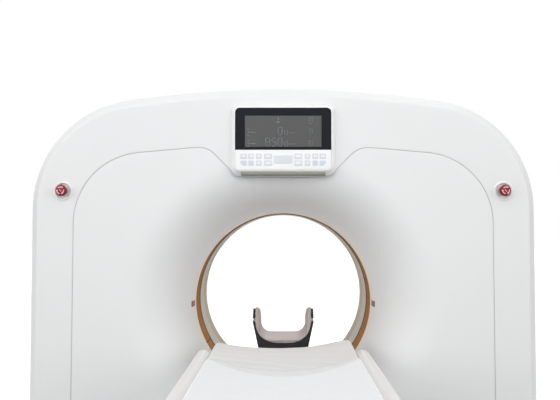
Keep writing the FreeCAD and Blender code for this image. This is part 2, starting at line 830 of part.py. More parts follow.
def drive_motor():
    """Square servo motor behind the mount plate, with a clearance bore for the pulley's shaft."""
    y = (stator_y[1] + motor_plate_t, stator_y[1] + motor_plate_t + motor_length)
    body = box(span(pulley_x, 2 * motor_half), y, span(pulley_z, 2 * motor_half))
    bore_y = (y[0] - cut_past, y[0] + motor_shaft_reach + running_gap)
    return body.cut(cylinder(pulley_shaft_r + running_gap, bore_y, V(pulley_x, 0, pulley_z)))


def motor_pulley():
    """Belt pulley on the motor's shaft."""
    centre = V(pulley_x, 0, pulley_z)
    shaft_end = stator_y[1] + motor_plate_t + motor_shaft_reach
    shaft = cylinder(pulley_shaft_r, (pulley_y[1], shaft_end), centre)
    return cylinder(pulley_r, pulley_y, centre).fuse(shaft)


def belt_loop(clear, y):
    """Solid filled loop round the rotor's rim and the pulley, standing off both by clear."""
    big, small = rotor_r + clear, pulley_r + clear
    to_pulley = V(pulley_x, 0, pulley_z) - ISO
    reach = to_pulley.Length
    heading = math.atan2(to_pulley.z, to_pulley.x)
    lean = math.acos((big - small) / reach)

    def at(centre, r, angle):
        return V(centre.x + r * math.cos(angle), y[0], centre.z + r * math.sin(angle))

    small_centre = V(pulley_x, 0, pulley_z)
    first = (at(ISO, big, heading + lean), at(small_centre, small, heading + lean))
    second = (at(ISO, big, heading - lean), at(small_centre, small, heading - lean))
    wire = Part.Wire(
        [
            line(first[0], first[1]),
            arc(first[1], at(small_centre, small, heading), second[1]),
            line(second[1], second[0]),
            arc(second[0], at(ISO, big, heading + math.pi), first[0]),
        ]
    )
    return Part.Face(wire).extrude(V(0, y[1] - y[0], 0))


def drive_belt():
    inner = belt_loop(running_gap, beyond(belt_y))
    return belt_loop(running_gap + belt_t, belt_y).cut(inner)


def main_bearing():
    """Large bearing on the rotor's back. It turns in the stator's seat."""
    return ring(bearing_outer_r - running_gap, bearing_inner_r, (rotor_disc_y[1], stator_y[1]))


def rotor_drum():
    """Disc that carries the imaging parts round the bore. Its rim is the large pulley of the belt drive."""
    return ring(rotor_r, rotor_bore_r, rotor_disc_y)


def slip_ring():
    """Disc of conductor tracks on the rotor's back, inside the bearing."""
    return ring(slip_ring_r[1], slip_ring_r[0], (rotor_disc_y[1], rotor_disc_y[1] + slip_ring_t))


def brush_block():
    """Carrier on the stator's back that holds the brushes against the slip ring."""
    x = (-brush_half, brush_half)
    track_z = span(iso_height + sum(slip_ring_r) / 2, brush_share * (slip_ring_r[1] - slip_ring_r[0]))
    foot_z = [iso_height + bearing_outer_r + z for z in brush_foot_z]
    carrier = box(x, brush_foot_y, (track_z[0], foot_z[1]))
    foot = box(x, (stator_y[1], brush_foot_y[1]), foot_z)
    tip_y = rotor_disc_y[1] + slip_ring_t + running_gap
    brushes = box(span(0, brush_half), (tip_y, brush_foot_y[1]), track_z)
    return carrier.fuse(foot).fuse(brushes).removeSplitter()


def xray_tube():
    """Round tube housing at the top of the rotor."""
    return cylinder(tube_r, tube_y, V(0, 0, iso_height + tube_orbit))


def beam_collimator():
    """Slotted box between the tube and the bore."""
    x, y = collimator_half
    slot_x, slot_y = collimator_slot_half
    z = (iso_height + rotor_bore_r + cut_past, iso_height + tube_orbit - tube_r + collimator_overlap)
    block = box((-x, x), (-y, y), z)
    slot = box((-slot_x, slot_x), (-slot_y, slot_y), beyond(z))
    seat = cylinder(tube_r + running_gap, beyond((-y, y)), V(0, 0, iso_height + tube_orbit))
    return block.cut(slot).cut(seat)


def arc_sector(centre, inner, outer, middle_angle, half_angle, y):
    """Part of a ring between two radii, centred on middle_angle, carried along +Y."""
    angles = [math.radians(middle_angle + k * half_angle) for k in (-1, 0, 1)]

    def at(r, a):
        return V(centre.x + r * math.cos(a), y[0], centre.z + r * math.sin(a))

    wire = Part.Wire(
        [
            arc(at(outer, angles[0]), at(outer, angles[1]), at(outer, angles[2])),
            line(at(outer, angles[2]), at(inner, angles[2])),
            arc(at(inner, angles[2]), at(inner, angles[1]), at(inner, angles[0])),
            line(at(inner, angles[0]), at(outer, angles[0])),
        ]
    )
    return Part.Face(wire).extrude(V(0, y[1] - y[0], 0))


def detector_arc():
    """Curved detector, centred on the tube's focus, standing off the disc on two blocks."""
    focus = V(0, 0, iso_height + tube_orbit)
    y = (-detector_half_width, detector_half_width)
    shape = arc_sector(focus, detector_r, detector_r + detector_t, -90, detector_half_angle, y)
    behind = (rotor_disc_y[0], rotor_disc_y[0] + detector_half_width)
    return shape.cut(box((-detector_r, detector_r), behind, (0, iso_height)))


def side_unit_block():
    z = span(iso_height, side_unit[1])
    return box((side_unit_r, side_unit_r + side_unit[0]), (side_unit_front, rotor_disc_y[0]), z)


def hv_generator():
    return mirror_x(side_unit_block())


def tube_cooler():
    """Heat exchanger with cooling slots along its outer face."""
    shape = side_unit_block()
    pitch = side_unit[1] / (cooler_fin_count + 1)
    for i in range(cooler_fin_count):
        z = iso_height - side_unit[1] / 2 + (i + 1) * pitch
        x = beyond((side_unit_r, side_unit_r + side_unit[0]))
        y = (side_unit_front - cut_past, side_unit_front + cooler_slot[0])
        shape = shape.cut(box(x, y, span(z, cooler_slot[1])))
    return shape


def balance_weights():
    y = (weight_front, rotor_disc_y[0])
    shapes = [
        arc_sector(ISO, weight_r[0], weight_r[1], -90 + side * weight_angle, weight_span, y) for side in (-1, 1)
    ]
    return Part.makeCompound(shapes)


# ---- patient table ----
def table_back_y():
    return table_front_y - table_length


def tray_corners(wall):
    """U-shaped section of the table's tray: rounded outer edges, and a sloped lip along each rail's inside."""
    half, top, low = table_half_width, table_top, table_top - table_depth
    inner = half - wall
    floor = low + tray_floor
    r = tray_edge_r
    lip = rail_lip_half
    right = [
        (half, low, 2 * r),
        (half, top, r),
        (half - rail_flat, top, r / 2),
        (lip, top - rail_lip[0], r / 7),
        (lip, top - rail_lip[1], 0.0),
        (inner, top - rail_lip[1] - (inner - lip), 0.0),
        (inner, floor, 0.0),
    ]
    return right + [(-x, z, q) for x, z, q in reversed(right)]


def plan_block(front_y, back_y, r_front, r_back):
    """Tall block with the tray's rounded plan, used to round its ends."""
    half = table_half_width
    right = [(half, back_y, r_back), (half, front_y, r_front)]
    corners = right + [(-x, y, r) for x, y, r in reversed(right)]
    return prism_z(corners, beyond((table_top - table_depth, table_top)))


def table_tray():
    """Long channel that guides the cradle, open on top and at its head end."""
    y = (table_back_y() + nose_length, table_front_y - nose_length)
    return prism_y(tray_corners(rail_wall), y)


def table_nose():
    """Head-end cap of the tray: the same section with rounded corners, open for the cradle."""
    y = (table_front_y - nose_length + running_gap, table_front_y)
    plan = plan_block(table_front_y, table_front_y - 4 * nose_length, nose_corner_r, 0.0)
    return prism_y(tray_corners(rail_wall), y).common(plan)


def table_foot_cap():
    """Foot-end cap, closed across the end up to just below the cradle."""
    back = table_back_y()
    y = (back, back + nose_length - running_gap)
    plan = plan_block(back + 4 * nose_length, back, 0.0, nose_corner_r)
    x = table_half_width - foot_wall_inset
    z = [table_top - table_depth + rise for rise in foot_wall_z]
    wall = box((-x, x), (back, back + foot_wall_t), z)
    return prism_y(tray_corners(rail_wall), y).fuse(wall).common(plan).removeSplitter()


def tray_floor_z():
    return table_top - table_depth + tray_floor


def slide_rails():
    """Two steel rails on the tray's floor that the cradle's runners slide on."""
    floor = tray_floor_z()
    y = (table_back_y() + nose_length + slide_rail_end, table_front_y - nose_length - slide_rail_end)
    z = (floor, floor + slide_rail[1])
    rails = [box(span(side * slide_rail_x, slide_rail[0]), y, z) for side in (-1, 1)]
    return Part.makeCompound(rails)


def glide_pads():
    """Two pads on the tray's floor at its head end that carry the cradle where it leaves the tray."""
    end = table_front_y - nose_length
    y = (end - slide_rail_end + running_gap, end - slide_rail_end + running_gap + glide_pad_length)
    room = trough_band(cradle_half_width, cradle_low - running_gap, 3 * cradle_sag, beyond(y))
    z = (tray_floor_z(), cradle_low + cradle_sag)
    pads = [box(span(side * slide_rail_x, runner_width), y, z).cut(room) for side in (-1, 1)]
    return Part.makeCompound(pads)


def trough_rise(half):
    """How far the trough has risen at half its width, for any width: the cradle's own arc."""
    r = (cradle_half_width**2 + cradle_sag**2) / (2 * cradle_sag)
    return r - math.sqrt(r**2 - half**2)


def trough_band(half, low, thickness, y):
    """Curved strip seen along the table, whose lower arc passes through low in the middle."""

    def at(x, z):
        return V(x, y[0], z)

    rise = trough_rise(half)
    wire = Part.Wire(
        [
            arc(at(-half, low + rise), at(0, low), at(half, low + rise)),
            line(at(half, low + rise), at(half, low + rise + thickness)),
            arc(at(half, low + rise + thickness), at(0, low + thickness), at(-half, low + rise + thickness)),
            line(at(-half, low + rise + thickness), at(-half, low + rise)),
        ]
    )
    return Part.Face(wire).extrude(V(0, y[1] - y[0], 0))


def cradle_shell():
    """Long carbon trough that carries the patient, narrowed at its head end."""
    band = trough_band(cradle_half_width, cradle_low, cradle_t, (cradle_foot_y, cradle_head_y))
    right = [
        (cradle_half_width, cradle_foot_y, cradle_corner_r[0]),
        (cradle_half_width, cradle_taper_y, cradle_corner_r[1]),
        (cradle_head_half, cradle_head_y, cradle_corner_r[2]),
    ]
    corners = right + [(-x, y, r) for x, y, r in reversed(right)]
    return band.common(prism_z(corners, beyond((cradle_low, cradle_low + cradle_sag + cradle_t))))


def cradle_runners():
    """Two sliding shoes under the cradle's foot end, shaped to its underside."""
    z = (tray_floor_z() + slide_rail[1] + running_gap, cradle_low + cradle_sag)
    room = trough_band(cradle_half_width, cradle_low, 3 * cradle_sag, beyond(runner_y))
    shoes = [box(span(side * slide_rail_x, runner_width), runner_y, z).cut(room) for side in (-1, 1)]
    return Part.makeCompound(shoes)


def mattress():
    """Foam pad that follows the trough, with rounded long edges."""
    y = (mattress_foot_y, mattress_front_y)
    half = mattress_half_width
    low = cradle_low + cradle_t + running_gap
    pad = trough_band(half, low, mattress_t, y)
    rim = low + mattress_t + trough_rise(half)
    long_edges = [e for e in pad.Edges if e.BoundBox.YLength > half and e.BoundBox.ZMin > rim - cut_past]
    pad = pad.makeChamfer(mattress_edge, long_edges)
    corners = chamfered((-half, half), y, mattress_corner)
    return pad.common(prism_z(corners, beyond((low, rim))))


def sheet_cover():
    """Cloth laid over the mattress and tucked down its two long sides."""
    y = (sheet_foot_y, sheet_front_y)
    low = cradle_low + cradle_t + running_gap + mattress_t + running_gap
    half = mattress_half_width + running_gap + sheet_t
    top = trough_band(half, low, sheet_t, y)
    edge = low + trough_rise(half)
    sides = [
        box(ordered(side * (half - sheet_t), side * half), y, (edge - sheet_drop, edge + sheet_t))
        for side in (-1, 1)
    ]
    return top.fuse(sides[0]).fuse(sides[1]).removeSplitter()


# ---- head holder ----
def iso_z(height):
    return iso_height + height


def holder_shell():
    """Dark cradle of the head holder: flat foot, flared sides, upper arms and a strap slot on each side."""
    bottom, lip, arm = iso_z(holder_bottom), iso_z(holder_lip), iso_z(holder_arm_top)
    corners = [
        (holder_bottom_half, bottom, holder_corner_r[0]),
        (holder_lip_half, lip, holder_corner_r[1]),
        (holder_arm_half, arm, holder_corner_r[2]),
        (-holder_arm_half, arm, holder_corner_r[2]),
        (-holder_lip_half, lip, holder_corner_r[1]),
        (-holder_bottom_half, bottom, holder_corner_r[0]),
    ]
    slot_x = beyond((-holder_lip_half, holder_lip_half))
    slot_y = (holder_y[0] - cut_past, holder_y[0] + holder_slot[1])
    slot = box(slot_x, slot_y, span(lip + holder_slot_rise, holder_slot[0]))
    return prism_y(corners, holder_y).cut(holder_hollow()).cut(slot).cut(above_arms(arm))


def above_arms(top):
    """Wedge above the arms, whose underside falls from top at the near end to the far end."""
    near, far = holder_y
    spots = [(near, top), (far, top - holder_arm_fall), (far + cut_past, top), (far + cut_past, top + 50), (near, top + 50)]
    wire = Part.makePolygon([V(-holder_lip_half - cut_past, y, z) for y, z in spots + spots[:1]])
    return Part.Face(wire).extrude(V(2 * (holder_lip_half + cut_past), 0, 0))


def holder_hollow():
    """U-shaped hollow of the holder's shell, open on top."""
    half = holder_arm_half - holder_wall
    floor, top = iso_z(holder_seat), iso_z(pad_top)
    right = [(half, floor, holder_hollow_r), (half, top, 0.0)]
    return prism_y(right + [(-x, z, r) for x, z, r in reversed(right)], beyond(holder_y))


def holder_pad():
    """Foam lining of the head holder: a U with rounded arm tops."""
    y = beyond(holder_y, -pad_inset)
    half = holder_arm_half - holder_wall - running_gap
    inner = half - pad_arm_t
    floor, seat, top = iso_z(pad_floor), iso_z(holder_seat) + running_gap, iso_z(pad_top)
    cap = pad_arm_t / 2 - cut_past
    seat_r = holder_hollow_r - running_gap
    corners = [
        (half, seat, seat_r),
        (half, top, cap),
        (inner, top, cap),
        (inner, floor, pad_inner_r),
        (-inner, floor, pad_inner_r),
        (-inner, top, cap),
        (-half, top, cap),
        (-half, seat, seat_r),
    ]
    return prism_y(corners, y).cut(above_arms(top))


def tongue_z():
    bottom = iso_z(holder_bottom)
    return (bottom - tongue[1], bottom)


def holder_tongue():
    """Flat tongue under the holder that plugs into the cradle's socket."""
    return box(span(0, tongue[0]), (cradle_head_y - tongue_reach, holder_y[1] - tongue_inset), tongue_z())


def cradle_socket():
    """Socket block under the cradle's head end, open towards the holder."""
    z = tongue_z()
    half = tongue[0] / 2 + running_gap + socket_wall
    y = (cradle_head_y - socket_length, cradle_head_y)
    top = cradle_low + cradle_sag
    block = box((-half, half), y, (z[0] - running_gap - socket_wall, top))
    block = block.cut(trough_band(cradle_half_width, cradle_low, 3 * cradle_sag, beyond(y)))
    mouth = box(
        span(0, tongue[0] + 2 * running_gap),
        (cradle_head_y - tongue_reach - running_gap, cradle_head_y + cut_past),
        (z[0] - running_gap, z[1] + running_gap),
    )
    return block.cut(mouth)


# ---- table pedestal ----
def skirt(inset, z):
    """Folded tube in plan, drawn in by inset from the upper skirt's outside."""
    y = (pedestal_y[0] + inset, pedestal_y[1] - inset)
    half = pedestal_half - inset
    slope = 2 - math.sqrt(2)
    outer = prism_z(chamfered((-half, half), y, pedestal_chamfer - inset * slope), z)
    half -= skirt_wall
    cut = pedestal_chamfer - (inset + skirt_wall) * slope
    inner = prism_z(chamfered((-half, half), (y[0] + skirt_wall, y[1] - skirt_wall), cut), beyond(z))
    return outer.cut(inner)


def skirt_inset(stage):
    return stage * (skirt_wall + skirt_gap)


def upper_skirt():
    return skirt(skirt_inset(0), (upper_skirt_bottom, table_top - table_depth))


def middle_skirt():
    return skirt(skirt_inset(1), mid_skirt)


def lower_skirt():
    return skirt(skirt_inset(2), (base_plate[2], lower_skirt_top))


def column(half, z):
    """Square tube of the lifting column."""
    middle = sum(pedestal_y) / 2
    bore = half - column_wall
    outer = box((-half, half), span(middle, 2 * half), z)
    return outer.cut(box((-bore, bore), span(middle, 2 * bore), beyond(z)))


def column_size(stage):
    return column_half - stage * (column_wall + column_slide_gap)


def column_outer():
    return column(column_size(0), (base_plate[2], outer_column_top))


def column_middle():
    return column(column_size(1), mid_column)


def column_inner():
    return column(column_size(2), (inner_column_bottom, table_top - table_depth))


def table_base():
    """Floor plate of the table with four anchor holes outside the lower cover."""
    middle = sum(pedestal_y) / 2
    shape = box(span(0, base_plate[0]), span(middle, base_plate[1]), (0, base_plate[2]))
    for x in (-table_anchor[0] / 2, table_anchor[0] / 2):
        for y in (middle - table_anchor[1] / 2, middle + table_anchor[1] / 2):
            shape = shape.cut(Part.makeCylinder(table_anchor_r, base_plate[2] + 2, V(x, y, -1)))
    return shape


def lift_motor():
    """Gear motor of the lifting column, standing on the floor plate beside it."""
    middle = sum(pedestal_y) / 2
    y = middle - column_half - lift_motor_size[1] / 2 - motor_column_gap
    z = (base_plate[2], base_plate[2] + lift_motor_size[2])
    return box(span(0, lift_motor_size[0]), span(y, lift_motor_size[1]), z)


def cradle_motor():
    """Drive of the cradle, hung under the tray inside the upper cover."""
    middle = sum(pedestal_y) / 2
    y = middle + column_half + cradle_motor_size[1] / 2 + motor_column_gap
    top = table_top - table_depth
    z = (top - cradle_motor_size[2], top)
    return box(span(0, cradle_motor_size[0]), span(y, cradle_motor_size[1]), z)


def floor_duct():
    """Low cover over the cables between the table's floor plate and the gantry's foot."""
    start = sum(pedestal_y) / 2 + base_plate[1] / 2
    end = front_face_y + plinth_inset

    def section(low_half, low, high_half, high):
        return [(-low_half, low, 0.0), (low_half, low, 0.0), (high_half, high, 0.0), (-high_half, high, 0.0)]

    crest = duct_half - duct_slope
    outer = prism_y(section(duct_half, 0.0, crest, duct_height), (start, end))
    hollow = section(duct_half - 2.5 * duct_wall, -cut_past, crest - duct_wall / 2, duct_height - duct_wall)
    return outer.cut(prism_y(hollow, beyond((start, end))))


# ---- the parts list ----
def all_parts():
    parts = {
        "front_fascia": front_fascia(),
        "front_funnel_cover": front_funnel_cover(),
        "rear_fascia": rear_fascia(),
        "rear_funnel_cover": rear_funnel_cover(),
        "side_cover_left": side_cover(-1),
        "side_cover_right": side_cover(1),
        "top_cover": top_cover(),
        "plinth_cover": plinth(),
        "scan_window_ring": scan_window(),
        "bore_liner": bore_liner(),
        "laser_windows": laser_windows(),
        "estop_collars": estop_collars(),
        "display_housing": display_housing(),
        "display_glass": display_glass(),
        "display_screen": display_screen(),
        "keypad_overlay": keypad_overlay(),
        "start_key": start_key_cap(),
        "gantry_base_frame": base_frame(),
        "stator_frame": stator_frame(),
        "motor_mount_plate": motor_mount(),
        "drive_motor": drive_motor(),
        "motor_pulley": motor_pulley(),
        "drive_belt": drive_belt(),
        "main_bearing": main_bearing(),
        "rotor_drum": rotor_drum(),
        "slip_ring": slip_ring(),
        "brush_block": brush_block(),
        "xray_tube": xray_tube(),
        "beam_collimator": beam_collimator(),
        "detector_arc": detector_arc(),
        "high_voltage_generator": hv_generator(),
        "tube_cooler": tube_cooler(),
        "balance_weights": balance_weights(),
        "table_tray": table_tray(),
        "table_nose_cap": table_nose(),
        "table_foot_cap": table_foot_cap(),
        "slide_rails": slide_rails(),
        "glide_pads": glide_pads(),
        "cradle_shell": cradle_shell(),
        "cradle_runners": cradle_runners(),
        "cradle_socket": cradle_socket(),
        "mattress": mattress(),
        "sheet": sheet_cover(),
        "head_holder_shell": holder_shell(),
        "head_holder_pad": holder_pad(),
        "head_holder_tongue": holder_tongue(),
        "upper_skirt": upper_skirt(),
        "middle_skirt": middle_skirt(),
        "lower_skirt": lower_skirt(),
        "column_outer": column_outer(),
        "column_middle": column_middle(),
        "column_inner": column_inner(),
        "table_base_plate": table_base(),
        "lift_motor": lift_motor(),
        "cradle_drive_motor": cradle_motor(),
        "floor_duct": floor_duct(),
    }
    for side, name in ((-1, "left"), (1, "right")):
        parts["estop_plunger_" + name] = estop_plunger(side)
        parts["estop_head_" + name] = estop_head(side)
    return parts


def main():
    os.makedirs("parts", exist_ok=True)
    for name, shape in all_parts().items():
        shape.exportStep(os.path.join("parts", name + ".step"))
        solids = shape.Solids
        volume = sum(s.Volume for s in solids)
        print(f"{name}: {len(solids)} solid(s), valid {shape.isValid()}, {volume / 1e6:.2f} litres")


main()
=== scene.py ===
"""The look of a CT scanner: gantry covers, bore, control panel, stop buttons, table, mattress and head holder.

Metres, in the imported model's frame: +Z up, +Y along the bore from the table towards the gantry's rear.
The origin is on the floor under the isocentre. A path in front view is an array of (x, z) points with
outward normals. A profile is an array of (outward offset, y) points that is carried along such a path.
"""

import math

import bmesh
import bpy
import numpy as np
from mathutils import Euler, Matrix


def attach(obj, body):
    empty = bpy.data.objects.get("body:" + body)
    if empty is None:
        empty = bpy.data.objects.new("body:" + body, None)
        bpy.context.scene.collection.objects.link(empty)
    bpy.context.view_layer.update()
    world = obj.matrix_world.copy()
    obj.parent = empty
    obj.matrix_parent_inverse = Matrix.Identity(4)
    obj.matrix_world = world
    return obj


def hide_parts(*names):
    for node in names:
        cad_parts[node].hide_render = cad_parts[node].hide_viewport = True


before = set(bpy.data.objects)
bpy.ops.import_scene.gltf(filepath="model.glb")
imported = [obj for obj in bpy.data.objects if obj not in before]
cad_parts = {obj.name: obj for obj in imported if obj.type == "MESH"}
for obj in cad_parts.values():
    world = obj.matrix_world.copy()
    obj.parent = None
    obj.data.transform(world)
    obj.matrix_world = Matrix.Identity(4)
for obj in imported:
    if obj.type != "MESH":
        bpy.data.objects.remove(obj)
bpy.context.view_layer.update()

# ---- sizes of the real machine, in metres, as the solids have them ----
AXIS_Z = 1.0  # height of the bore's axis
BORE_R = 0.350
HALF_WIDTH = 0.912
CROWN_Z = 1.800
CROWN_R = 3.850
SHOULDER_R = 0.400
FRONT_Y, REAR_Y = -0.395, 0.480  # the two flat faces of the gantry
COVER_LOW = 0.090
WALL = 0.005
BAND_WALL = 0.004
BEVEL_IN, BEVEL_BACK = 0.036, 0.056
BEVEL_SOFT = (0.011, 0.016, 0.0025)  # rounding at the face, at the rim and at the rim's far edge
RIM = 0.022
TURN_IN = 0.016  # edge that every cover turns inwards
OPENING_FLANGE = 0.044
GAP = 0.003
SPLIT_Z = 1.420  # where the side covers meet the crown cover
PANEL_HALF = 0.7445
PANEL_SHOULDER = (1.5376, 0.250)  # height and radius
NOTCH_TOP = (0.2727, 1.5797, 0.080)  # x, height and radius
NOTCH = (0.165, 1.472, 0.050)  # x, height and radius
REAR_PEAK = (1.604, 2.000)  # height and radius
EDGE_R = 0.0012  # soft edge of the centre covers
FLANGE = 0.026
MOUTH_R = 0.560  # where the bell mouth runs out into the flat face
TUNNEL_Y = -0.065  # where the bell mouth meets the scan window
WINDOW_HALF = 0.0647
LINER_START_Y, LINER_END_Y = 0.0665, 0.305
LINER_JOINT_Y = (0.2056, 0.2070)
STOP_X, STOP_Z = 0.784, 1.423
STOP_HOLE_R = 0.031
LASER_Y, LASER_Z = -0.125, -0.006  # its height is measured from the bore's axis
LASER_HALF = (0.026, 0.011)
DISPLAY_HALF = 0.1745
DISPLAY_Z = (1.4918, 1.7200)
DISPLAY_Y = -0.423
SCREEN_HALF = 0.1355
SCREEN_Z = (1.5765, 1.6880)
GLASS_HALF, GLASS_LOW = 0.1695, 1.5665
CRADLE_LOW, CRADLE_T, CRADLE_SAG, CRADLE_HALF = 0.770, 0.014, 0.027, 0.252
PAD_T, PAD_HALF = 0.048, 0.259
PAD_Y = (-2.290, -0.220)
PAD_CLEAR = 0.0003  # between the cradle and the mattress
SHEET_START_Y = -2.270
SHEET_DROP = 0.034
SHEET_FRONT_Y = -0.603
HEM = 0.085

PANEL_VIEWER = (0.0, -3.0, 1.6)  # a point in front of the panel, which the faces of its pieces turn to


# ---- materials ----
WHITE = (1.0, 1.0, 1.0, 1.0)
COAT_ROUGHNESS = 0.12
CLOUD_SCALE, CLOUD_DETAIL = 3.0, 4.0
GRAIN_DETAIL, GRAIN_DEPTH = 3.0, 0.0004
ROUGHNESS_SPREAD = 0.06


def fed(tree, node, values):
    """The node with some inputs set: a socket is linked to the input, anything else is the input's value."""
    for name, value in values.items():
        if isinstance(value, bpy.types.NodeSocket):
            tree.links.new(value, node.inputs[name])
        else:
            node.inputs[name].default_value = value
    return node


def added(tree, kind, values, operation=None):
    """A new shader node of that kind with some inputs set. A mix node mixes colours."""
    node = tree.nodes.new("ShaderNode" + kind)
    if operation:
        node.operation = operation
    if kind == "Mix":
        node.data_type = "RGBA"
    return fed(tree, node, values)


def ranged(tree, value, source, target):
    """The value carried from the source range to the target range."""
    low, high = {"From Min": source[0], "From Max": source[1]}, {"To Min": target[0], "To Max": target[1]}
    return added(tree, "MapRange", {"Value": value, **low, **high}).outputs["Result"]


def greater(tree, first, second):
    """The greater of two values."""
    return added(tree, "Math", {0: first, 1: second}, "MAXIMUM").outputs[0]


def seen_directly(tree):
    """One for the rays that camera, gloss and glass send, and nought for those that carry light about."""
    rays = added(tree, "LightPath", {}).outputs
    either = greater(tree, rays["Is Camera Ray"], rays["Is Glossy Ray"])
    return greater(tree, either, rays["Is Transmission Ray"])


def finish(name, color, roughness, spread=0.02, grain=400.0, bump=0.05, coat=0.0, metallic=0.0, specular=0.5):
    """A finish with a slight cloudy variation of its colour and a fine grain in its roughness and bump."""
    material = bpy.data.materials.new(name)
    material.use_nodes = True
    tree = material.node_tree
    place = added(tree, "TexCoord", {}).outputs["Object"]
    cloud = added(tree, "TexNoise", {"Scale": CLOUD_SCALE, "Detail": CLOUD_DETAIL, "Vector": place})
    light = (*(min(1.0, c * (1 + spread)) for c in color), 1.0)
    dark = (*(c * (1 - spread) for c in color), 1.0)
    tint = added(tree, "Mix", {"A": light, "B": dark, "Factor": cloud.outputs["Fac"]})
    fine = added(tree, "TexNoise", {"Scale": grain, "Detail": GRAIN_DETAIL, "Vector": place}).outputs["Fac"]
    levels = max(0.02, roughness - ROUGHNESS_SPREAD), min(1.0, roughness + ROUGHNESS_SPREAD)
    relief = added(tree, "Bump", {"Strength": bump, "Distance": GRAIN_DEPTH, "Height": fine})
    fed(tree, tree.nodes["Principled BSDF"], {
        "Base Color": tint.outputs["Result"],
        "Roughness": ranged(tree, fine, (0.0, 1.0), levels),
        "Normal": relief.outputs["Normal"],
        "Metallic": metallic,
        "Coat Weight": coat,
        "Coat Roughness": COAT_ROUGHNESS,
        "Specular IOR Level": specular,
    })
    return material


def srgb(r, g, b):
    """Linear colour of an 8-bit display colour."""
    return tuple(c / 12.92 if c <= 0.04045 else ((c + 0.055) / 1.055) ** 2.4 for c in (r / 255, g / 255, b / 255))


COVER_LOOK = {"color": (0.845, 0.85, 0.855), "roughness": 0.45, "spread": 0.008, "bump": 0.04, "specular": 0.3}
cover_paint = finish("cover_paint", **COVER_LOOK)
liner_plastic = finish("liner_plastic", (0.70, 0.665, 0.59), 0.5, specular=0.1)
liner_lip_plastic = finish("liner_lip_plastic", srgb(214, 198, 176), 0.5, specular=0.1)
plinth_plastic = finish("plinth_plastic", (0.13, 0.135, 0.14), 0.6)
amber_window = finish("amber_window", srgb(182, 134, 92), 0.4, spread=0.12, bump=0.03, specular=0.0)
laser_glass = finish("laser_glass", srgb(142, 88, 62), 0.3, specular=0.05)
# dark rubber of the joints; it also makes the painted shade at the scan window's rear edge
gasket_rubber = finish("gasket_rubber", (0.03, 0.028, 0.025), 0.7)
# painted shade: this grey colours the strips in the seams round the centre covers, which stand for the shade in
# the gaps
painted_seam_shade = finish("painted_seam_shade", (0.60, 0.61, 0.62), 0.7)
filter_foam = finish("filter_foam", (0.055, 0.056, 0.058), 0.9, spread=0.15, grain=900.0, bump=0.2, specular=0.2)
collar_plastic = finish("collar_plastic", (0.90, 0.90, 0.89), 0.4)
stop_red = finish("stop_red", (0.23, 0.010, 0.022), 0.4, spread=0.05, specular=0.3)
arrow_white = finish("arrow_white", (0.90, 0.54, 0.55), 0.5)
shaft_black = finish("shaft_black", (0.03, 0.03, 0.03), 0.5)
display_white = finish("display_white", (0.93, 0.93, 0.94), 0.35, spread=0.005, bump=0.03)
# painted shade: this olive grey colours the band under the panel, which stands for the shade there
display_grey = finish("display_grey", (0.40, 0.40, 0.34), 0.5)
bezel_glass = finish("bezel_glass", srgb(34, 35, 39), 0.3, bump=0.01, specular=0.08)
screen_glass = finish("screen_glass", srgb(97, 98, 97), 0.4, spread=0.06, bump=0.01, specular=0.06)
screen_segment = finish("screen_segment", srgb(128, 134, 140), 0.4)
keypad_film = finish("keypad_film", (0.93, 0.94, 0.94), 0.4, spread=0.005)
key_border = finish("key_border", (0.70, 0.72, 0.79), 0.45)
key_face = finish("key_face", (0.86, 0.88, 0.90), 0.45)
key_blue_face = finish("key_blue_face", (0.66, 0.69, 0.82), 0.45)
start_key_face = finish("start_key_face", (0.72, 0.77, 0.80), 0.4)
table_paint = finish("table_paint", (0.86, 0.85, 0.84), 0.4, spread=0.01)
skirt_paint = finish("skirt_paint", (0.80, 0.80, 0.81), 0.42, spread=0.01)
holder_carbon = finish("holder_carbon", srgb(40, 41, 44), 0.5, spread=0.1, specular=0.4)
foam_skin = finish("foam_skin", srgb(202, 191, 189), 0.65, spread=0.04, grain=900.0, bump=0.15)
frame_paint = finish("frame_paint", (0.30, 0.32, 0.35), 0.5)
bare_steel = finish("bare_steel", (0.58, 0.58, 0.60), 0.3, metallic=1.0, bump=0.08)
bare_aluminium = finish("bare_aluminium", (0.70, 0.71, 0.72), 0.35, metallic=1.0, bump=0.08)
cast_grey = finish("cast_grey", (0.32, 0.33, 0.35), 0.55, bump=0.2)
cast_iron_paint = finish("cast_iron_paint", (0.08, 0.08, 0.085), 0.65, bump=0.3)
slip_brass = finish("slip_brass", (0.75, 0.52, 0.22), 0.3, metallic=1.0)
belt_rubber = finish("belt_rubber", (0.02, 0.02, 0.02), 0.8)
motor_paint = finish("motor_paint", (0.05, 0.05, 0.055), 0.5)
slide_plastic = finish("slide_plastic", (0.75, 0.75, 0.72), 0.5)
laminate = finish("laminate", (0.62, 0.60, 0.57), 0.35, spread=0.05, coat=0.3)


# painted reflection: the bell mouth's paint turns to this warm tint over these depths near the amber window,
# standing for light that the window throws back
PAINTED_REFLECTION_TINT = (0.86, 0.79, 0.71, 1.0)
PAINTED_REFLECTION_Y = (TUNNEL_Y - 0.110, TUNNEL_Y - 0.015)


def bell_reflection_finish():
    """The cover's paint with a painted reflection: a warm tint, standing for the light that the amber window
    throws back, where the bell mouth nears it.
    """
    material = finish("bell_reflection_paint", **COVER_LOOK)
    tree = material.node_tree
    depth = added(tree, "SeparateXYZ", {"Vector": tree.nodes["Texture Coordinate"].outputs["Object"]})
    near = ranged(tree, depth.outputs["Y"], PAINTED_REFLECTION_Y, (0.0, 1.0))
    reflected = added(tree, "Mix", {"A": tree.nodes["Mix"].outputs["Result"], "B": PAINTED_REFLECTION_TINT, "Factor": near})
    fed(tree, tree.nodes["Principled BSDF"], {"Base Color": reflected.outputs["Result"]})
    return material


bell_reflection_paint = bell_reflection_finish()


THREADS = {"Scale": 260.0, "Distortion": 0.6}
THREAD_DEPTH = 0.0003


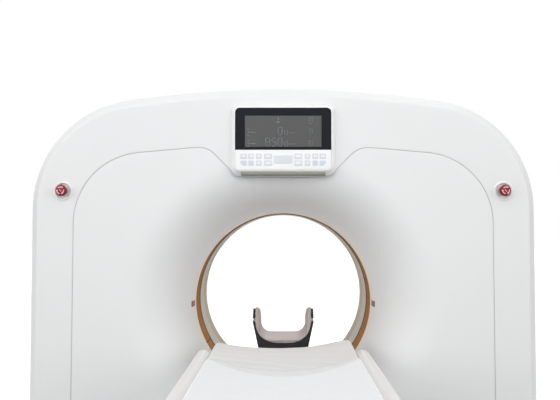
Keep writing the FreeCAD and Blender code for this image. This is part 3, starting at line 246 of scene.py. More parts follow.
def cloth_finish(name, color, strength):
    """Coated cloth: two crossed fine waves as threads, a soft cloudy tint and some sheen."""
    material = finish(name, color, 0.75, spread=0.012, grain=900.0, bump=0.1)
    tree = material.node_tree
    place = tree.nodes["Texture Coordinate"].outputs["Object"]
    threads = []
    for direction in ("X", "Y"):
        wave = added(tree, "TexWave", {**THREADS, "Vector": place})
        wave.bands_direction = direction
        threads.append(wave.outputs["Fac"])
    relief = added(tree, "Bump", {
        "Strength": strength,
        "Distance": THREAD_DEPTH,
        "Height": greater(tree, *threads),
        "Normal": tree.nodes["Bump"].outputs["Normal"],
    })
    fed(tree, tree.nodes["Principled BSDF"], {"Sheen Weight": 0.15, "Normal": relief.outputs["Normal"]})
    return material


under_cloth = cloth_finish("under_cloth", (0.77, 0.77, 0.77), 0.12)
top_cloth = cloth_finish("top_cloth", (0.88, 0.89, 0.90), 0.08)
hem_cloth = cloth_finish("hem_cloth", (0.80, 0.805, 0.81), 0.08)


# ---- making meshes ----
def grid_faces(rows, columns, close_rows=False, close_columns=False):
    """Quads between neighbouring points of a grid, joined end to end where it is closed."""
    i, j = np.meshgrid(np.arange(rows - 1 + close_rows), np.arange(columns - 1 + close_columns), indexing="ij")
    down, across = (i + 1) % rows, (j + 1) % columns
    corners = [i * columns + j, down * columns + j, down * columns + across, i * columns + across]
    return np.stack(corners, axis=-1).reshape(-1, 4)


def facing(points, faces, outside):
    """The faces, turned round if most of their area faces away from the point outside."""
    a, b, c, d = (points[faces[:, k]] for k in range(4))
    normals = np.cross(c - a, d - b)
    towards = np.asarray(outside) - (a + b + c + d) / 4
    return faces if np.sum(normals * towards) >= 0 else faces[:, ::-1]


def shaded(mesh, sharp):
    """Smooth shading but for edges sharper than that many degrees."""
    mesh.polygons.foreach_set("use_smooth", np.ones(len(mesh.polygons), dtype=bool))
    mesh.set_sharp_from_angle(angle=math.radians(sharp))


def reworked(mesh, change):
    """The mesh is put through a change that works on a bmesh."""
    work = bmesh.new()
    work.from_mesh(mesh)
    change(work)
    work.to_mesh(mesh)
    work.free()


def placed(name, mesh):
    """Object of a mesh, put in the scene."""
    thing = bpy.data.objects.new(name, mesh)
    bpy.context.scene.collection.objects.link(thing)
    return thing


def new_mesh(name, points, faces, sharp=40.0):
    """Mesh object of points and quads, shaded smooth but for edges sharper than that many degrees."""
    mesh = bpy.data.meshes.new(name)
    mesh.vertices.add(len(points))
    mesh.vertices.foreach_set("co", np.ascontiguousarray(points, dtype=np.float32).ravel())
    mesh.loops.add(faces.size)
    mesh.loops.foreach_set("vertex_index", np.ascontiguousarray(faces, dtype=np.int32).ravel())
    mesh.polygons.add(len(faces))
    mesh.polygons.foreach_set("loop_start", np.arange(0, faces.size, faces.shape[1], dtype=np.int32))
    mesh.update(calc_edges=True)
    mesh.validate()
    shaded(mesh, sharp)
    return placed(name, mesh)


def surface(name, grid, outside, close_rows=False, close_columns=False, holes=None, sharp=40.0):
    """Object of a grid of points (rows, columns, 3). holes marks the quads that are left out."""
    rows, columns = grid.shape[:2]
    faces = grid_faces(rows, columns, close_rows, close_columns)
    if holes is not None:
        faces = faces[~holes.ravel()]
    points = grid.reshape(-1, 3)
    return new_mesh(name, points, facing(points, faces, outside), sharp)


def joined(name, parts, outside=None, sharp=40.0):
    """One object of several grids, each (grid, close_rows, close_columns), with shared borders merged."""
    points, faces, start = [], [], 0
    for grid, close_rows, close_columns in parts:
        flat = grid.reshape(-1, 3)
        quads = grid_faces(*grid.shape[:2], close_rows, close_columns)
        if outside is not None:
            quads = facing(flat, quads, outside)
        points.append(flat)
        faces.append(quads + start)
        start += len(flat)
    thing = new_mesh(name, np.concatenate(points), np.concatenate(faces), sharp)

    def weld(work):
        """Merges points that lie together and, where no outside is given, turns the faces outwards."""
        bmesh.ops.remove_doubles(work, verts=work.verts, dist=1e-5)
        if outside is None:
            bmesh.ops.recalc_face_normals(work, faces=work.faces)

    reworked(thing.data, weld)
    shaded(thing.data, sharp)
    return thing


def walled(thing, thickness, offset=-1.0):
    """The surface gets a wall behind it."""
    solidify = thing.modifiers.new("wall", "SOLIDIFY")
    solidify.thickness = thickness
    solidify.offset = offset
    solidify.use_even_offset = False
    return thing


def dress(thing, material, body, slot, *nodes):
    """Gives a piece its material and body, and hides the solids that it stands for. The slot is not used."""
    thing.data.materials.clear()
    thing.data.materials.append(material)
    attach(thing, body)
    if nodes:
        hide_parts(*nodes)
    return thing


def soft_copy(node, material, body, slot, radius):
    """A solid's own shape with its loose triangles merged, its flat faces whole and its edges rounded."""
    thing = placed(node + "_cover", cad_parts[node].data.copy())

    def clean(work):
        """Merges points that lie together and dissolves the edges between coplanar triangles."""
        bmesh.ops.remove_doubles(work, verts=work.verts, dist=2e-5)
        bmesh.ops.dissolve_limit(work, angle_limit=math.radians(0.6), verts=work.verts, edges=work.edges)
        bmesh.ops.dissolve_degenerate(work, dist=1e-5, edges=work.edges)

    reworked(thing.data, clean)
    shaded(thing.data, 35.0)
    bevel = thing.modifiers.new("edges", "BEVEL")
    bevel.width = radius
    bevel.segments = 2
    bevel.limit_method = "ANGLE"
    bevel.angle_limit = math.radians(30.0)
    bevel.harden_normals = True
    return dress(thing, material, body, slot, node)


# ---- paths and profiles ----
def left_of(direction):
    """Directions turned left by a right angle."""
    return np.stack([-direction[..., 1], direction[..., 0]], axis=-1)


def rounded_path(corners, closed=False, arc_step=4.0, line_step=0.02):
    """Points and left-hand normals along a path through (u, v, radius) corners, each rounded by its radius."""
    spots = np.array([c[:2] for c in corners], dtype=float)
    radii = [c[2] for c in corners]
    count = len(spots)
    points, normals = [], []
    previous = None
    for k in range(count):
        here = spots[k]
        if not closed and k in (0, count - 1):
            side = spots[1] - here if k == 0 else here - spots[k - 1]
            side = side / np.linalg.norm(side)
            corner_points, corner_normals = here[None], left_of(side)[None]
        else:
            before, after = here - spots[k - 1], spots[(k + 1) % count] - here
            before, after = before / np.linalg.norm(before), after / np.linalg.norm(after)
            turn = math.atan2(before[0] * after[1] - before[1] * after[0], float(before @ after))
            if radii[k] > 0 and abs(turn) > 1e-6:
                steps = max(2, int(abs(math.degrees(turn)) / arc_step) + 1)
                angle = math.atan2(before[1], before[0]) + np.linspace(0, turn, steps + 1)
                heading = np.stack([np.cos(angle), np.sin(angle)], axis=-1)
                corner_normals = left_of(heading)
                sign = -np.sign(turn)
                start = here - before * radii[k] * math.tan(abs(turn) / 2)
                centre = start - sign * radii[k] * corner_normals[0]
                corner_points = centre + sign * radii[k] * corner_normals
            else:
                corner_points = np.stack([here, here])
                corner_normals = np.stack([left_of(before), left_of(after)])
        if previous is not None:
            reach = np.linalg.norm(corner_points[0] - previous)
            extra = int(reach / line_step)
            if extra:
                share = np.linspace(0, 1, extra + 2)[1:-1, None]
                points.append(previous * (1 - share) + corner_points[0] * share)
                normals.append(np.repeat(corner_normals[:1], extra, axis=0))
        points.append(corner_points)
        normals.append(corner_normals)
        previous = corner_points[-1]
    return np.concatenate(points), np.concatenate(normals)


def gantry_path(line_step=0.05):
    """The gantry's outline in front view, from its left foot over the crown to its right foot, with normals."""
    shoulder_x = HALF_WIDTH - SHOULDER_R
    crown_centre = CROWN_Z - CROWN_R
    shoulder_z = crown_centre + math.sqrt((CROWN_R - SHOULDER_R) ** 2 - shoulder_x**2)
    lean = math.atan2(shoulder_x, shoulder_z - crown_centre)
    turn = np.radians(np.arange(-90.0, -math.degrees(lean), 1.5))
    crown = np.linspace(-lean, 0, 41)
    climb = np.arange(COVER_LOW, shoulder_z, line_step)

    def bow(centre, radius, angle):
        """Points and normals on an arc, at angles clockwise from the top."""
        normal = np.stack([np.sin(angle), np.cos(angle)], axis=-1)
        return np.asarray(centre) + radius * normal, normal

    side = np.stack([np.full_like(climb, -HALF_WIDTH), climb], axis=-1)
    parts = [
        (side, np.tile([-1.0, 0.0], (len(climb), 1))),
        bow((-shoulder_x, shoulder_z), SHOULDER_R, turn),
        bow((0.0, crown_centre), CROWN_R, crown),
    ]
    points = np.concatenate([p for p, _ in parts])
    normals = np.concatenate([n for _, n in parts])
    flip = np.array([-1.0, 1.0])
    return np.concatenate([points, (points * flip)[-2::-1]]), np.concatenate([normals, (normals * flip)[-2::-1]])


def front_panel_path(grow=0.0):
    """Outline of the front centre cover, from its left foot round its notched top to its right foot."""
    rise = math.atan2(NOTCH_TOP[1] - PANEL_SHOULDER[0], PANEL_HALF - NOTCH_TOP[0])
    slant = (math.pi / 4 + rise) / 2
    shoulder_z = PANEL_SHOULDER[0] + grow / math.cos(rise) + grow * math.tan(rise)
    right = [
        (NOTCH[0] - grow * math.tan(math.pi / 8), NOTCH[1] + grow, NOTCH[2] - grow),
        (NOTCH_TOP[0] - grow * math.sin(slant), NOTCH_TOP[1] + grow * math.cos(slant), NOTCH_TOP[2] + grow),
        (PANEL_HALF + grow, shoulder_z, PANEL_SHOULDER[1] + grow),
        (PANEL_HALF + grow, COVER_LOW, 0.0),
    ]
    left = [(-x, z, r) for x, z, r in reversed(right)]
    return rounded_path(left + right)


def rear_panel_path(grow=0.0):
    """Outline of the rear centre cover, from its left foot over its bowed top to its right foot."""
    half = PANEL_HALF + grow
    shoulder = (PANEL_SHOULDER[0] + grow, PANEL_SHOULDER[1] + grow)
    corners = [(-half, COVER_LOW, 0.0), (-half, *shoulder), (0.0, REAR_PEAK[0] + grow, REAR_PEAK[1])]
    return rounded_path(corners + [(half, *shoulder), (half, COVER_LOW, 0.0)])


def by_angle(path, angles):
    """Points and normals of a path at those directions from the bore's axis, clockwise from straight down."""
    points, normals = path
    own = np.arctan2(points[:, 0], AXIS_Z - points[:, 1])  # zero straight down, negative on the left
    own = np.where(own > 0, own - 2 * math.pi, own)
    order = np.argsort(-own)
    values = np.concatenate([points, normals], axis=1)[order]
    found = np.stack([np.interp(-angles, -own[order], values[:, k]) for k in range(4)], axis=-1)
    unit = found[:, 2:] / np.linalg.norm(found[:, 2:], axis=1, keepdims=True)
    return found[:, :2], unit


def carried(path, profile):
    """Grid of a profile of (outward offset, y) points carried along a path: rows follow the path."""
    points, normals = path
    offset, y = np.asarray(profile, dtype=float).T
    flat = points[:, None, :] + normals[:, None, :] * offset[None, :, None]
    depth = np.broadcast_to(y, flat.shape[:2])
    return np.stack([flat[..., 0], depth, flat[..., 1]], axis=-1)


def turned(profile, centre=(0.0, AXIS_Z), segments=192):
    """Grid of a profile of (radius, y) points turned about an axis along Y."""
    radius, y = np.asarray(profile, dtype=float).T
    angle = np.linspace(0, 2 * math.pi, segments, endpoint=False)[:, None]
    x = centre[0] + radius * np.sin(angle)
    z = centre[1] + radius * np.cos(angle)
    return np.stack([x, np.broadcast_to(y, x.shape), z], axis=-1)


def profile_of(corners, closed=False, arc_step=15.0, line_step=1.0):
    """Points alone of a path through corners, with no more points on its straights than it needs."""
    return rounded_path(corners, closed, arc_step, line_step)[0]


# ---- gantry covers ----
def cover_profile(face_y, inward):
    """Section of a face cover's outer edge: flat face, bevel with soft corners, rim and turned-in edge."""
    face_soft, rim_soft, end_soft = BEVEL_SOFT
    bevel_y, rim_y = face_y + inward * BEVEL_BACK, face_y + inward * (BEVEL_BACK + RIM)
    corners = [(-BEVEL_IN - 0.03, face_y, 0.0), (-BEVEL_IN, face_y, face_soft), (0.0, bevel_y, rim_soft)]
    return profile_of(corners + [(0.0, rim_y, end_soft), (-TURN_IN, rim_y, 0.0)], arc_step=6.0)


def opening_profile(face_y, inward):
    """Section of the opening's edge: a flange from behind, then a soft corner into the face."""
    return profile_of([(0.0, face_y + inward * OPENING_FLANGE, 0.0), (0.0, face_y, EDGE_R), (0.008, face_y, 0.0)])


def matched(outer_path, inner_path):
    """The two paths sampled at matching directions, so that a face can span them."""
    ends = [math.atan2(points[-1, 0], AXIS_Z - points[-1, 1]) for points, _ in (outer_path, inner_path)]
    outer_angles = -(ends[0] + np.linspace(0, 1, 520) * (2 * math.pi - 2 * ends[0]))
    level = math.pi / 2
    stops = [[end, level, 2 * math.pi - level, 2 * math.pi - end] for end in ends]
    inner_angles = np.interp(-outer_angles, *stops)
    return by_angle(outer_path, outer_angles), by_angle(inner_path, -inner_angles)


def face_cover(name, face_y, inward, inner_path, node):
    """Outer frame of the front or the rear: its opening's flange, the flat face, then the bevel and rim."""
    outer, inner = matched(gantry_path(), inner_path)
    lip = carried(inner, opening_profile(face_y, inward))
    edge = carried(outer, cover_profile(face_y, inward))
    share = np.linspace(0, 1, 7)[1:-1, None]
    face = lip[:, -1:, :] * (1 - share) + edge[:, :1, :] * share
    grid = np.concatenate([lip, face, edge], axis=1)
    thing = surface(name, grid, (0.0, face_y - inward * 3.0, AXIS_Z), sharp=50.0)
    walled(thing, WALL)
    return dress(thing, cover_paint, "gantry", "cover_white", node)


def drilled(thing, centres, radius):
    """Round holes along Y through the front face, cut after its wall is made."""
    cutters = []
    for centre in centres:
        y = (FRONT_Y - 0.02, FRONT_Y + 0.02)
        section = np.array([(0.0, y[0]), (radius, y[0]), (radius, y[1]), (0.0, y[1])])
        cutter = joined("cutter", [(turned(section, centre, 64), True, False)])
        cut = thing.modifiers.new("hole", "BOOLEAN")
        cut.operation, cut.solver, cut.object = "DIFFERENCE", "EXACT", cutter
        cutters.append(cutter)
    state = bpy.context.evaluated_depsgraph_get()
    thing.data = bpy.data.meshes.new_from_object(thing.evaluated_get(state))
    thing.modifiers.clear()
    thing.data.set_sharp_from_angle(angle=math.radians(50.0))
    for cutter in cutters:
        bpy.data.objects.remove(cutter)


SEAM_BACK, SEAM_LAP, SEAM_T = 0.0020, 0.0008, 0.0015


def seam_strip(name, path, face_y, inward):
    """Grey strip that fills the gap round a centre cover, a little behind the two faces: painted shade, standing
    for the shade in the seam.
    """
    y = face_y + inward * SEAM_BACK
    grid = carried(path, [(-SEAM_LAP, y), (GAP + SEAM_LAP, y)])
    thing = surface(name, grid, (0.0, face_y - inward * 3.0, AXIS_Z))
    return dress(walled(thing, SEAM_T), painted_seam_shade, "gantry", "cover_white")


def bell_y(radius):
    """How deep the bell mouth is at a radius: a quarter of an ellipse from the bore to the flat face."""
    share = np.clip((MOUTH_R - radius) / (MOUTH_R - BORE_R), 0.0, 1.0)
    return TUNNEL_Y + (FRONT_Y - TUNNEL_Y) * np.sqrt(1 - share**2)


def closed_foot(path):
    """The path with its straight foot added, so that it goes all the way round."""
    points, normals = path
    share = np.linspace(0, 1, 60)[:, None]
    foot = points[-1] * (1 - share) + points[0] * share
    down = np.tile([0.0, -1.0], (len(foot), 1))
    return np.concatenate([points, foot]), np.concatenate([normals, down])


def spokes(path):
    """Points and normals of a centre cover's outline in all directions from the bore's axis, and the lengths and
    directions of the lines from the axis to where the flat face ends, a soft edge's radius within the outline."""
    outline, normals = by_angle(closed_foot(path), np.linspace(0, -2 * math.pi, 360, endpoint=False))
    inset = outline - normals * EDGE_R
    reach = np.hypot(inset[:, 0], inset[:, 1] - AXIS_Z)
    return outline, normals, reach, np.stack([inset[:, 0], inset[:, 1] - AXIS_Z], axis=-1) / reach[:, None]


def centre_cover(name, lines, radius, y, edge_y, inward, material, node):
    """Centre cover whose skin lies at those radii and depths along its spokes. Its edge bends by a quarter of a
    circle from the skin's end into a flange."""
    outline, normals, _, heading = lines
    x, z = heading[:, :1] * radius, AXIS_Z + heading[:, 1:] * radius
    skin = np.stack([x, np.broadcast_to(y, radius.shape), z], axis=-1)
    bend = np.linspace(0, math.pi / 2, 6)[1:]
    offset = np.concatenate([EDGE_R * (np.sin(bend) - 1), [0.0]])
    back = np.concatenate([EDGE_R * (1 - np.cos(bend)), [FLANGE]])
    rim = outline[:, None, :] + normals[:, None, :] * offset[None, :, None]
    edge = np.stack([rim[..., 0], np.broadcast_to(edge_y + inward * back, rim.shape[:2]), rim[..., 1]], axis=-1)
    grid = np.concatenate([skin, edge], axis=1)
    thing = surface(name, grid, (0.0, -inward * 3.0, AXIS_Z), close_rows=True, sharp=60.0)
    return dress(walled(thing, WALL), material, "gantry", "cover_white", node)


def front_centre_cover():
    """Front centre cover: rows go from the bore along the bell mouth and the flat face to the rounded edge."""
    lines = spokes(front_panel_path())
    reach = lines[2]
    bell_end = np.minimum(MOUTH_R, reach - 0.012)
    turn_end = np.arccos(np.clip((MOUTH_R - bell_end) / (MOUTH_R - BORE_R), 0, 1))
    bell = MOUTH_R - (MOUTH_R - BORE_R) * np.cos(turn_end[:, None] * np.linspace(0, 1, 48))
    flat = bell_end[:, None] + (reach - bell_end)[:, None] * np.linspace(0, 1, 10)[1:]
    radius = np.concatenate([bell, flat], axis=1)
    edge_y = bell_y(reach)[:, None]
    centre_cover("front_centre_cover", lines, radius, bell_y(radius), edge_y, 1, bell_reflection_paint, "front_funnel_cover")


def rear_centre_cover():
    """Rear centre cover: a short flared throat, then the flat face out to the rounded edge."""
    lines = spokes(rear_panel_path())
    reach = lines[2]
    corners = [(BORE_R, LINER_END_Y, 0.0), (0.392, 0.430, 0.15), (0.440, REAR_Y, 0.030), (0.500, REAR_Y, 0.0)]
    throat = profile_of(corners, arc_step=5.0, line_step=0.02)
    share = np.linspace(0, 1, 8)[1:]
    flat = throat[-1, 0] + (reach - throat[-1, 0])[:, None] * share
    radius = np.concatenate([np.broadcast_to(throat[:, 0], (len(reach), len(throat))), flat], axis=1)
    y = np.concatenate([throat[:, 1], np.full(len(share), REAR_Y)])
    centre_cover("rear_centre_cover", lines, radius, y, REAR_Y, -1, cover_paint, "rear_funnel_cover")


def slot_row(first, pitch, count, half):
    """The two ends of each slot in a row."""
    return [(first + pitch * k - half, first + pitch * k + half) for k in range(count)]


FILTER_MARGIN, FILTER_THICK = 0.008, 0.003
SIDE_SLOTS_Z = slot_row(0.260, 0.026, 9, 0.0045)
SIDE_SLOTS_Y = [(-0.205, -0.055), (0.140, 0.290)]
CROWN_SLOTS_X = slot_row(-0.150, 0.030, 11, 0.006)
CROWN_SLOTS_Y = [(0.225, 0.375)]


def slotted(values, slots):
    """Values with every slot's two ends added, in order."""
    return np.unique(np.round(np.concatenate([values, np.ravel(slots)]), 6))


def in_slots(middle, slots):
    """Which of the values lie in a slot."""
    return np.any([(middle > low) & (middle < high) for low, high in slots], axis=0)


def band_path(side):
    """Positions along one part of the band, the points and normals there as a table, and the part's two ends.

    Heights on a side, -1 or 1, and x on the crown, 0.
    """
    points, normals = gantry_path(0.02)
    left = points[:, 0] < 0
    split_x = np.interp(SPLIT_Z, points[left, 1], points[left, 0])
    if side:
        rows, axis, limits = points[:, 0] * side > 0, 1, (COVER_LOW, SPLIT_Z - GAP)
    else:
        rows, axis, limits = points[:, 1] > SPLIT_Z - 0.03, 0, (split_x, -split_x)
    table = np.concatenate([points, normals], axis=1)[rows]
    table = table[np.argsort(table[:, axis])]
    return table[:, axis], table, limits


def read_at(stops, along, table):
    """Points and normals of a band's table at the given positions."""
    found = np.stack([np.interp(stops, along, table[:, k]) for k in range(4)], axis=-1)
    return found[:, :2], found[:, 2:]


def band_cover(name, side, slots_along, slots_across, node):
    """Part of the band between the two face covers: side -1 or 1, or the crown where side is 0.

    The band's path is read at heights on a side and at x on the crown. Slots are given the same way, and in y.
    """
    start = FRONT_Y + BEVEL_BACK + RIM + GAP
    end = REAR_Y - BEVEL_BACK - RIM - GAP
    edge_r = 0.0025
    along, table, limits = band_path(side)
    inside = along[(along > limits[0]) & (along < limits[1])]
    stops = slotted(inside, np.concatenate([np.ravel(slots_along), limits]))
    across = slotted(np.linspace(start + edge_r, end - edge_r, 12), slots_across)
    front = [(-TURN_IN, start), (-edge_r, start)]
    rear = [(-edge_r, end), (-TURN_IN, end)]
    profile = np.concatenate([front, np.stack([np.zeros_like(across), across], axis=-1), rear])
    grid = carried(read_at(stops, along, table), profile)
    row_middle = (stops[1:] + stops[:-1]) / 2
    column_middle = (profile[1:, 1] + profile[:-1, 1]) / 2
    holes = in_slots(row_middle, slots_along)[:, None] & in_slots(column_middle, slots_across)[None, :]
    outside = (side * 5.0, 0.04, 1.0 if side else 5.0)
    thing = surface(name, grid, outside, holes=holes, sharp=50.0)
    walled(thing, BAND_WALL)
    return dress(thing, cover_paint, "gantry", "cover_white", node)


def filter_mat(name, side, slots_along, slots_across):
    """Dark filter mat on the inner face of a band cover, a little larger than the block of slots it backs."""
    along, table, _ = band_path(side)
    low, high = slots_along[0][0] - FILTER_MARGIN, slots_along[-1][1] + FILTER_MARGIN
    front, rear = slots_across[0] - FILTER_MARGIN, slots_across[1] + FILTER_MARGIN
    profile = np.array([(-BAND_WALL, y) for y in np.linspace(front, rear, 4)])
    grid = carried(read_at(np.linspace(low, high, 24), along, table), profile)
    thing = surface(name, grid, (side * 5.0, 0.04, 1.0 if side else 5.0))
    return dress(walled(thing, FILTER_THICK), filter_foam, "gantry", "shaft_black")


front_frame = face_cover("front_frame_cover", FRONT_Y, 1, front_panel_path(GAP), "front_fascia")
drilled(front_frame, [(-STOP_X, STOP_Z), (STOP_X, STOP_Z)], STOP_HOLE_R)
face_cover("rear_frame_cover", REAR_Y, -1, rear_panel_path(GAP), "rear_fascia")
front_centre_cover()
rear_centre_cover()
seam_strip("front_seam", front_panel_path(), FRONT_Y, 1)
seam_strip("rear_seam", rear_panel_path(), REAR_Y, -1)
band_cover("left_side_cover", -1, SIDE_SLOTS_Z, SIDE_SLOTS_Y, "side_cover_left")
band_cover("right_side_cover", 1, SIDE_SLOTS_Z, SIDE_SLOTS_Y, "side_cover_right")
band_cover("crown_cover", 0, CROWN_SLOTS_X, CROWN_SLOTS_Y, "top_cover")
for position, slots in zip(("front", "rear"), SIDE_SLOTS_Y):
    filter_mat(f"left_{position}_filter", -1, SIDE_SLOTS_Z, slots)
    filter_mat(f"right_{position}_filter", 1, SIDE_SLOTS_Z, slots)
filter_mat("crown_filter", 0, CROWN_SLOTS_X, CROWN_SLOTS_Y[0])


# ---- bore ----
def tube(name, inner, outer, start, end, soft, material, slot, *nodes):
    """Tube about the bore's axis between two radii and two y values, with its inner edges rounded."""
    corners = [(inner, start, soft), (outer, start, 0.0), (outer, end, 0.0), (inner, end, soft)]
    section = profile_of(corners, closed=True, arc_step=20.0, line_step=0.03)
    thing = surface(name, turned(section), (0.0, 0.0, 9.0), close_rows=True, close_columns=True, sharp=50.0)
    reworked(thing.data, lambda work: bmesh.ops.recalc_face_normals(work, faces=work.faces))
    return dress(thing, material, "gantry", slot, *nodes)


tube("scan_window", BORE_R, BORE_R + 0.0025, -WINDOW_HALF, WINDOW_HALF, 0.0008,
     amber_window, "tinted_window", "scan_window_ring")
# painted shade: this dark band at the scan window's rear edge stands for the shadow step between the window and
# the bore tube
tube("window_edge_shade", BORE_R - 0.0010, BORE_R + 0.003, WINDOW_HALF - 0.0075, WINDOW_HALF + 0.0008, 0.0,
     gasket_rubber, "belt_rubber")
tube("bore_tube", BORE_R, BORE_R + WALL, LINER_START_Y, LINER_JOINT_Y[0], 0.001,
     liner_plastic, "liner_white", "bore_liner")
tube("bore_tube_joint", BORE_R + 0.0010, BORE_R + 0.004, *LINER_JOINT_Y, 0.0, gasket_rubber, "belt_rubber")
tube("bore_tube_rear", BORE_R - 0.0005, BORE_R + WALL, LINER_JOINT_Y[1], LINER_END_Y - 0.0004, 0.001,
     liner_lip_plastic, "liner_white")


JOINT_PROUD, JOINT_T = 0.0004, 0.0006
LASER_PROUD, LASER_T = 0.0011, 0.003


def window_joint(name, degrees, spread, start, end):
    """Dark overlap mark along the scan window, at an angle clockwise from the top and between two y values."""
    angle = np.radians(np.linspace(degrees - spread, degrees + spread, 5))
    radius = BORE_R - JOINT_PROUD
    a, depth = np.meshgrid(angle, np.linspace(start, end, 3), indexing="ij")
    grid = np.stack([radius * np.sin(a), depth, AXIS_Z + radius * np.cos(a)], axis=-1)
    thing = surface(name, grid, (0.0, 0.0, AXIS_Z))
    return dress(walled(thing, JOINT_T), gasket_rubber, "gantry", "belt_rubber")


window_joint("window_joint_left", -119.0, 0.25, -0.060, 0.061)
window_joint("window_mark_right", 77.0, 0.7, 0.030, 0.046)


def laser_window(name, side):
    """Small tinted pane that follows the bell mouth and stands a little proud of it."""
    y = LASER_Y + LASER_HALF[0] * np.linspace(-1, 1, 9)
    z = LASER_Z + LASER_HALF[1] * np.linspace(-1, 1, 7)
    share = (y - TUNNEL_Y) / (FRONT_Y - TUNNEL_Y)
    radius = MOUTH_R - (MOUTH_R - BORE_R) * np.sqrt(1 - share**2) - LASER_PROUD
    r, height = np.meshgrid(radius, z, indexing="ij")
    x = side * np.sqrt(r**2 - height**2)
    grid = np.stack([x, np.broadcast_to(y[:, None], x.shape), AXIS_Z + height], axis=-1)
    thing = surface(name, grid, (0.0, LASER_Y, AXIS_Z))
    return dress(walled(thing, LASER_T), laser_glass, "gantry", "laser_window_tint", "laser_windows")


laser_window("laser_window_left", -1)
laser_window("laser_window_right", 1)


# ---- control panel ----
def plate(name, outline, y, soft, material, body, slot, *nodes):
    """Flat plate in front view between two y values, with a soft front edge.

    Rows run in from the edge to a middle line, which is as long as the plate is wider than it is high.
    """
    points, normals = rounded_path(outline, closed=True, arc_step=12.0, line_step=0.01)
    bend = np.linspace(0, math.pi / 2, 5)
    offset = np.concatenate([[0.0], soft * (np.cos(bend) - 1)])
    depth = np.concatenate([[y[1]], y[0] + soft * (1 - np.sin(bend))])
    rim = carried((points, normals), np.stack([offset, depth], axis=-1))
    middle = rim[:, -1].copy()
    low, high = middle[:, 2].min(), middle[:, 2].max()
    half = max(0.0, (middle[:, 0].max() - middle[:, 0].min()) / 2 - (high - low) / 2)
    centre = (middle[:, 0].max() + middle[:, 0].min()) / 2
    middle[:, 0] = centre + np.clip(middle[:, 0] - centre, -half, half)
    middle[:, 2] = (low + high) / 2
    fan = rim[:, -1:] + (middle[:, None] - rim[:, -1:]) * np.linspace(0, 1, 4)[1:, None]
    grid = np.concatenate([rim, fan], axis=1)
    thing = joined(name, [(grid, True, False)], outside=PANEL_VIEWER, sharp=50.0)
    return dress(thing, material, body, slot, *nodes)


def oblong(x, z, corner, low_corner=None):
    """Corners of a rectangle between two x and two z values, clockwise from the lower left.

    All are rounded alike, unless the two low ones have a radius of their own.
    """
    low = corner if low_corner is None else low_corner
    return [(x[0], z[0], low), (x[0], z[1], corner), (x[1], z[1], corner), (x[1], z[0], low)]


def upright(x, z, y):
    """Points in front view at one y."""
    return np.stack([x, np.full(np.shape(x), y), z], axis=-1)


def panel_outline(half, z, corner, arc_step, low_corner=None):
    """Path round a rounded rectangle of the panel."""
    corners = oblong((-half, half), z, corner, low_corner)
    return profile_of(corners, closed=True, arc_step=arc_step, line_step=10.0)


def display_body():
    """Housing of the panel: a rounded front frame that widens towards the gantry's face and runs lower behind."""
    stations = [
        # y, half width, low edge, high edge, corner
        (FRONT_Y, DISPLAY_HALF + 0.012, 1.4752, 1.7318, 0.030),
        (FRONT_Y - 0.004, DISPLAY_HALF + 0.0118, 1.4756, 1.7314, 0.030),
        (DISPLAY_Y + 0.0080, DISPLAY_HALF + 0.0030, 1.4892, 1.7228, 0.024),
        (DISPLAY_Y + 0.0035, DISPLAY_HALF + 0.0006, DISPLAY_Z[0] - 0.0005, DISPLAY_Z[1] + 0.0005, 0.022),
        (DISPLAY_Y + 0.0010, DISPLAY_HALF - 0.0008, DISPLAY_Z[0] + 0.0010, DISPLAY_Z[1] - 0.0010, 0.021),
        (DISPLAY_Y, DISPLAY_HALF - 0.0030, DISPLAY_Z[0] + 0.0032, DISPLAY_Z[1] - 0.0032, 0.019),
        (DISPLAY_Y + 0.0002, GLASS_HALF + 0.0008, DISPLAY_Z[0] + 0.0046, DISPLAY_Z[1] - 0.0040, 0.016),
        (DISPLAY_Y + 0.0030, GLASS_HALF + 0.0004, DISPLAY_Z[0] + 0.0049, DISPLAY_Z[1] - 0.0044, 0.0155),
    ]
    rows = []
    for y, half, low, high, corner in stations:
        rows.append(upright(*panel_outline(half, (low, high), corner, 9.0).T, y))
    thing = surface("display_body", np.stack(rows), PANEL_VIEWER, close_columns=True, sharp=60.0)
    return dress(walled(thing, 0.003), display_white, "gantry", "housing_white", "display_housing")


def painted_underside_shade():
    """Dark band on the slope under the panel, where its housing turns in to the gantry's face: painted shade,
    standing for the shade under the housing.
    """
    across = np.linspace(-0.150, 0.150, 9)
    slope = ((DISPLAY_Y + 0.0076, 1.4896), (FRONT_Y - 0.0040, 1.4757))
    forward, down = 0.0003, 0.0005  # how far the band stands off the slope
    grid = np.stack([upright(across, np.full(9, z - down), y - forward) for y, z in slope])
    thing = surface("painted_underside_shade", grid, (0.0, -3.0, 0.5))
    return dress(walled(thing, 0.0006), display_grey, "gantry", "display_grey")


def bezel():
    """Black glass as a frame: rows run from its back edge over the soft front edge to the screen's window."""
    back, edge, front = DISPLAY_Y + 0.0025, DISPLAY_Y - 0.0001, DISPLAY_Y - 0.0004
    outer = panel_outline(GLASS_HALF, (GLASS_LOW, DISPLAY_Z[1] - 0.0045), 0.0155, 7.0, 0.0008)
    centre = np.array([0.0, (GLASS_LOW + DISPLAY_Z[1]) / 2])
    inner = np.clip(outer, [-SCREEN_HALF, SCREEN_Z[0]], [SCREEN_HALF, SCREEN_Z[1]])
    drawn_in = centre + (outer - centre) * 0.9975
    stations = ((back, outer), (edge, outer), (front, drawn_in), (front, inner), (back, inner))
    grid = np.stack([upright(*path.T, y) for y, path in stations])
    thing = joined("bezel", [(grid, False, True)], outside=PANEL_VIEWER, sharp=1.0)
    return dress(thing, bezel_glass, "gantry", "display_black", "display_glass")


display_body()
painted_underside_shade()
bezel()
plate(
    "screen_face", oblong((-SCREEN_HALF, SCREEN_HALF), SCREEN_Z, 0.0015), (DISPLAY_Y + 0.0006, DISPLAY_Y + 0.0100),
    0.0003, screen_glass, "gantry", "display_grey", "display_screen",
)


def strip(x, z, y):
    """Grid of a small flat mark on the screen, between two x and two z values."""
    return upright(*np.meshgrid(x, z), y)


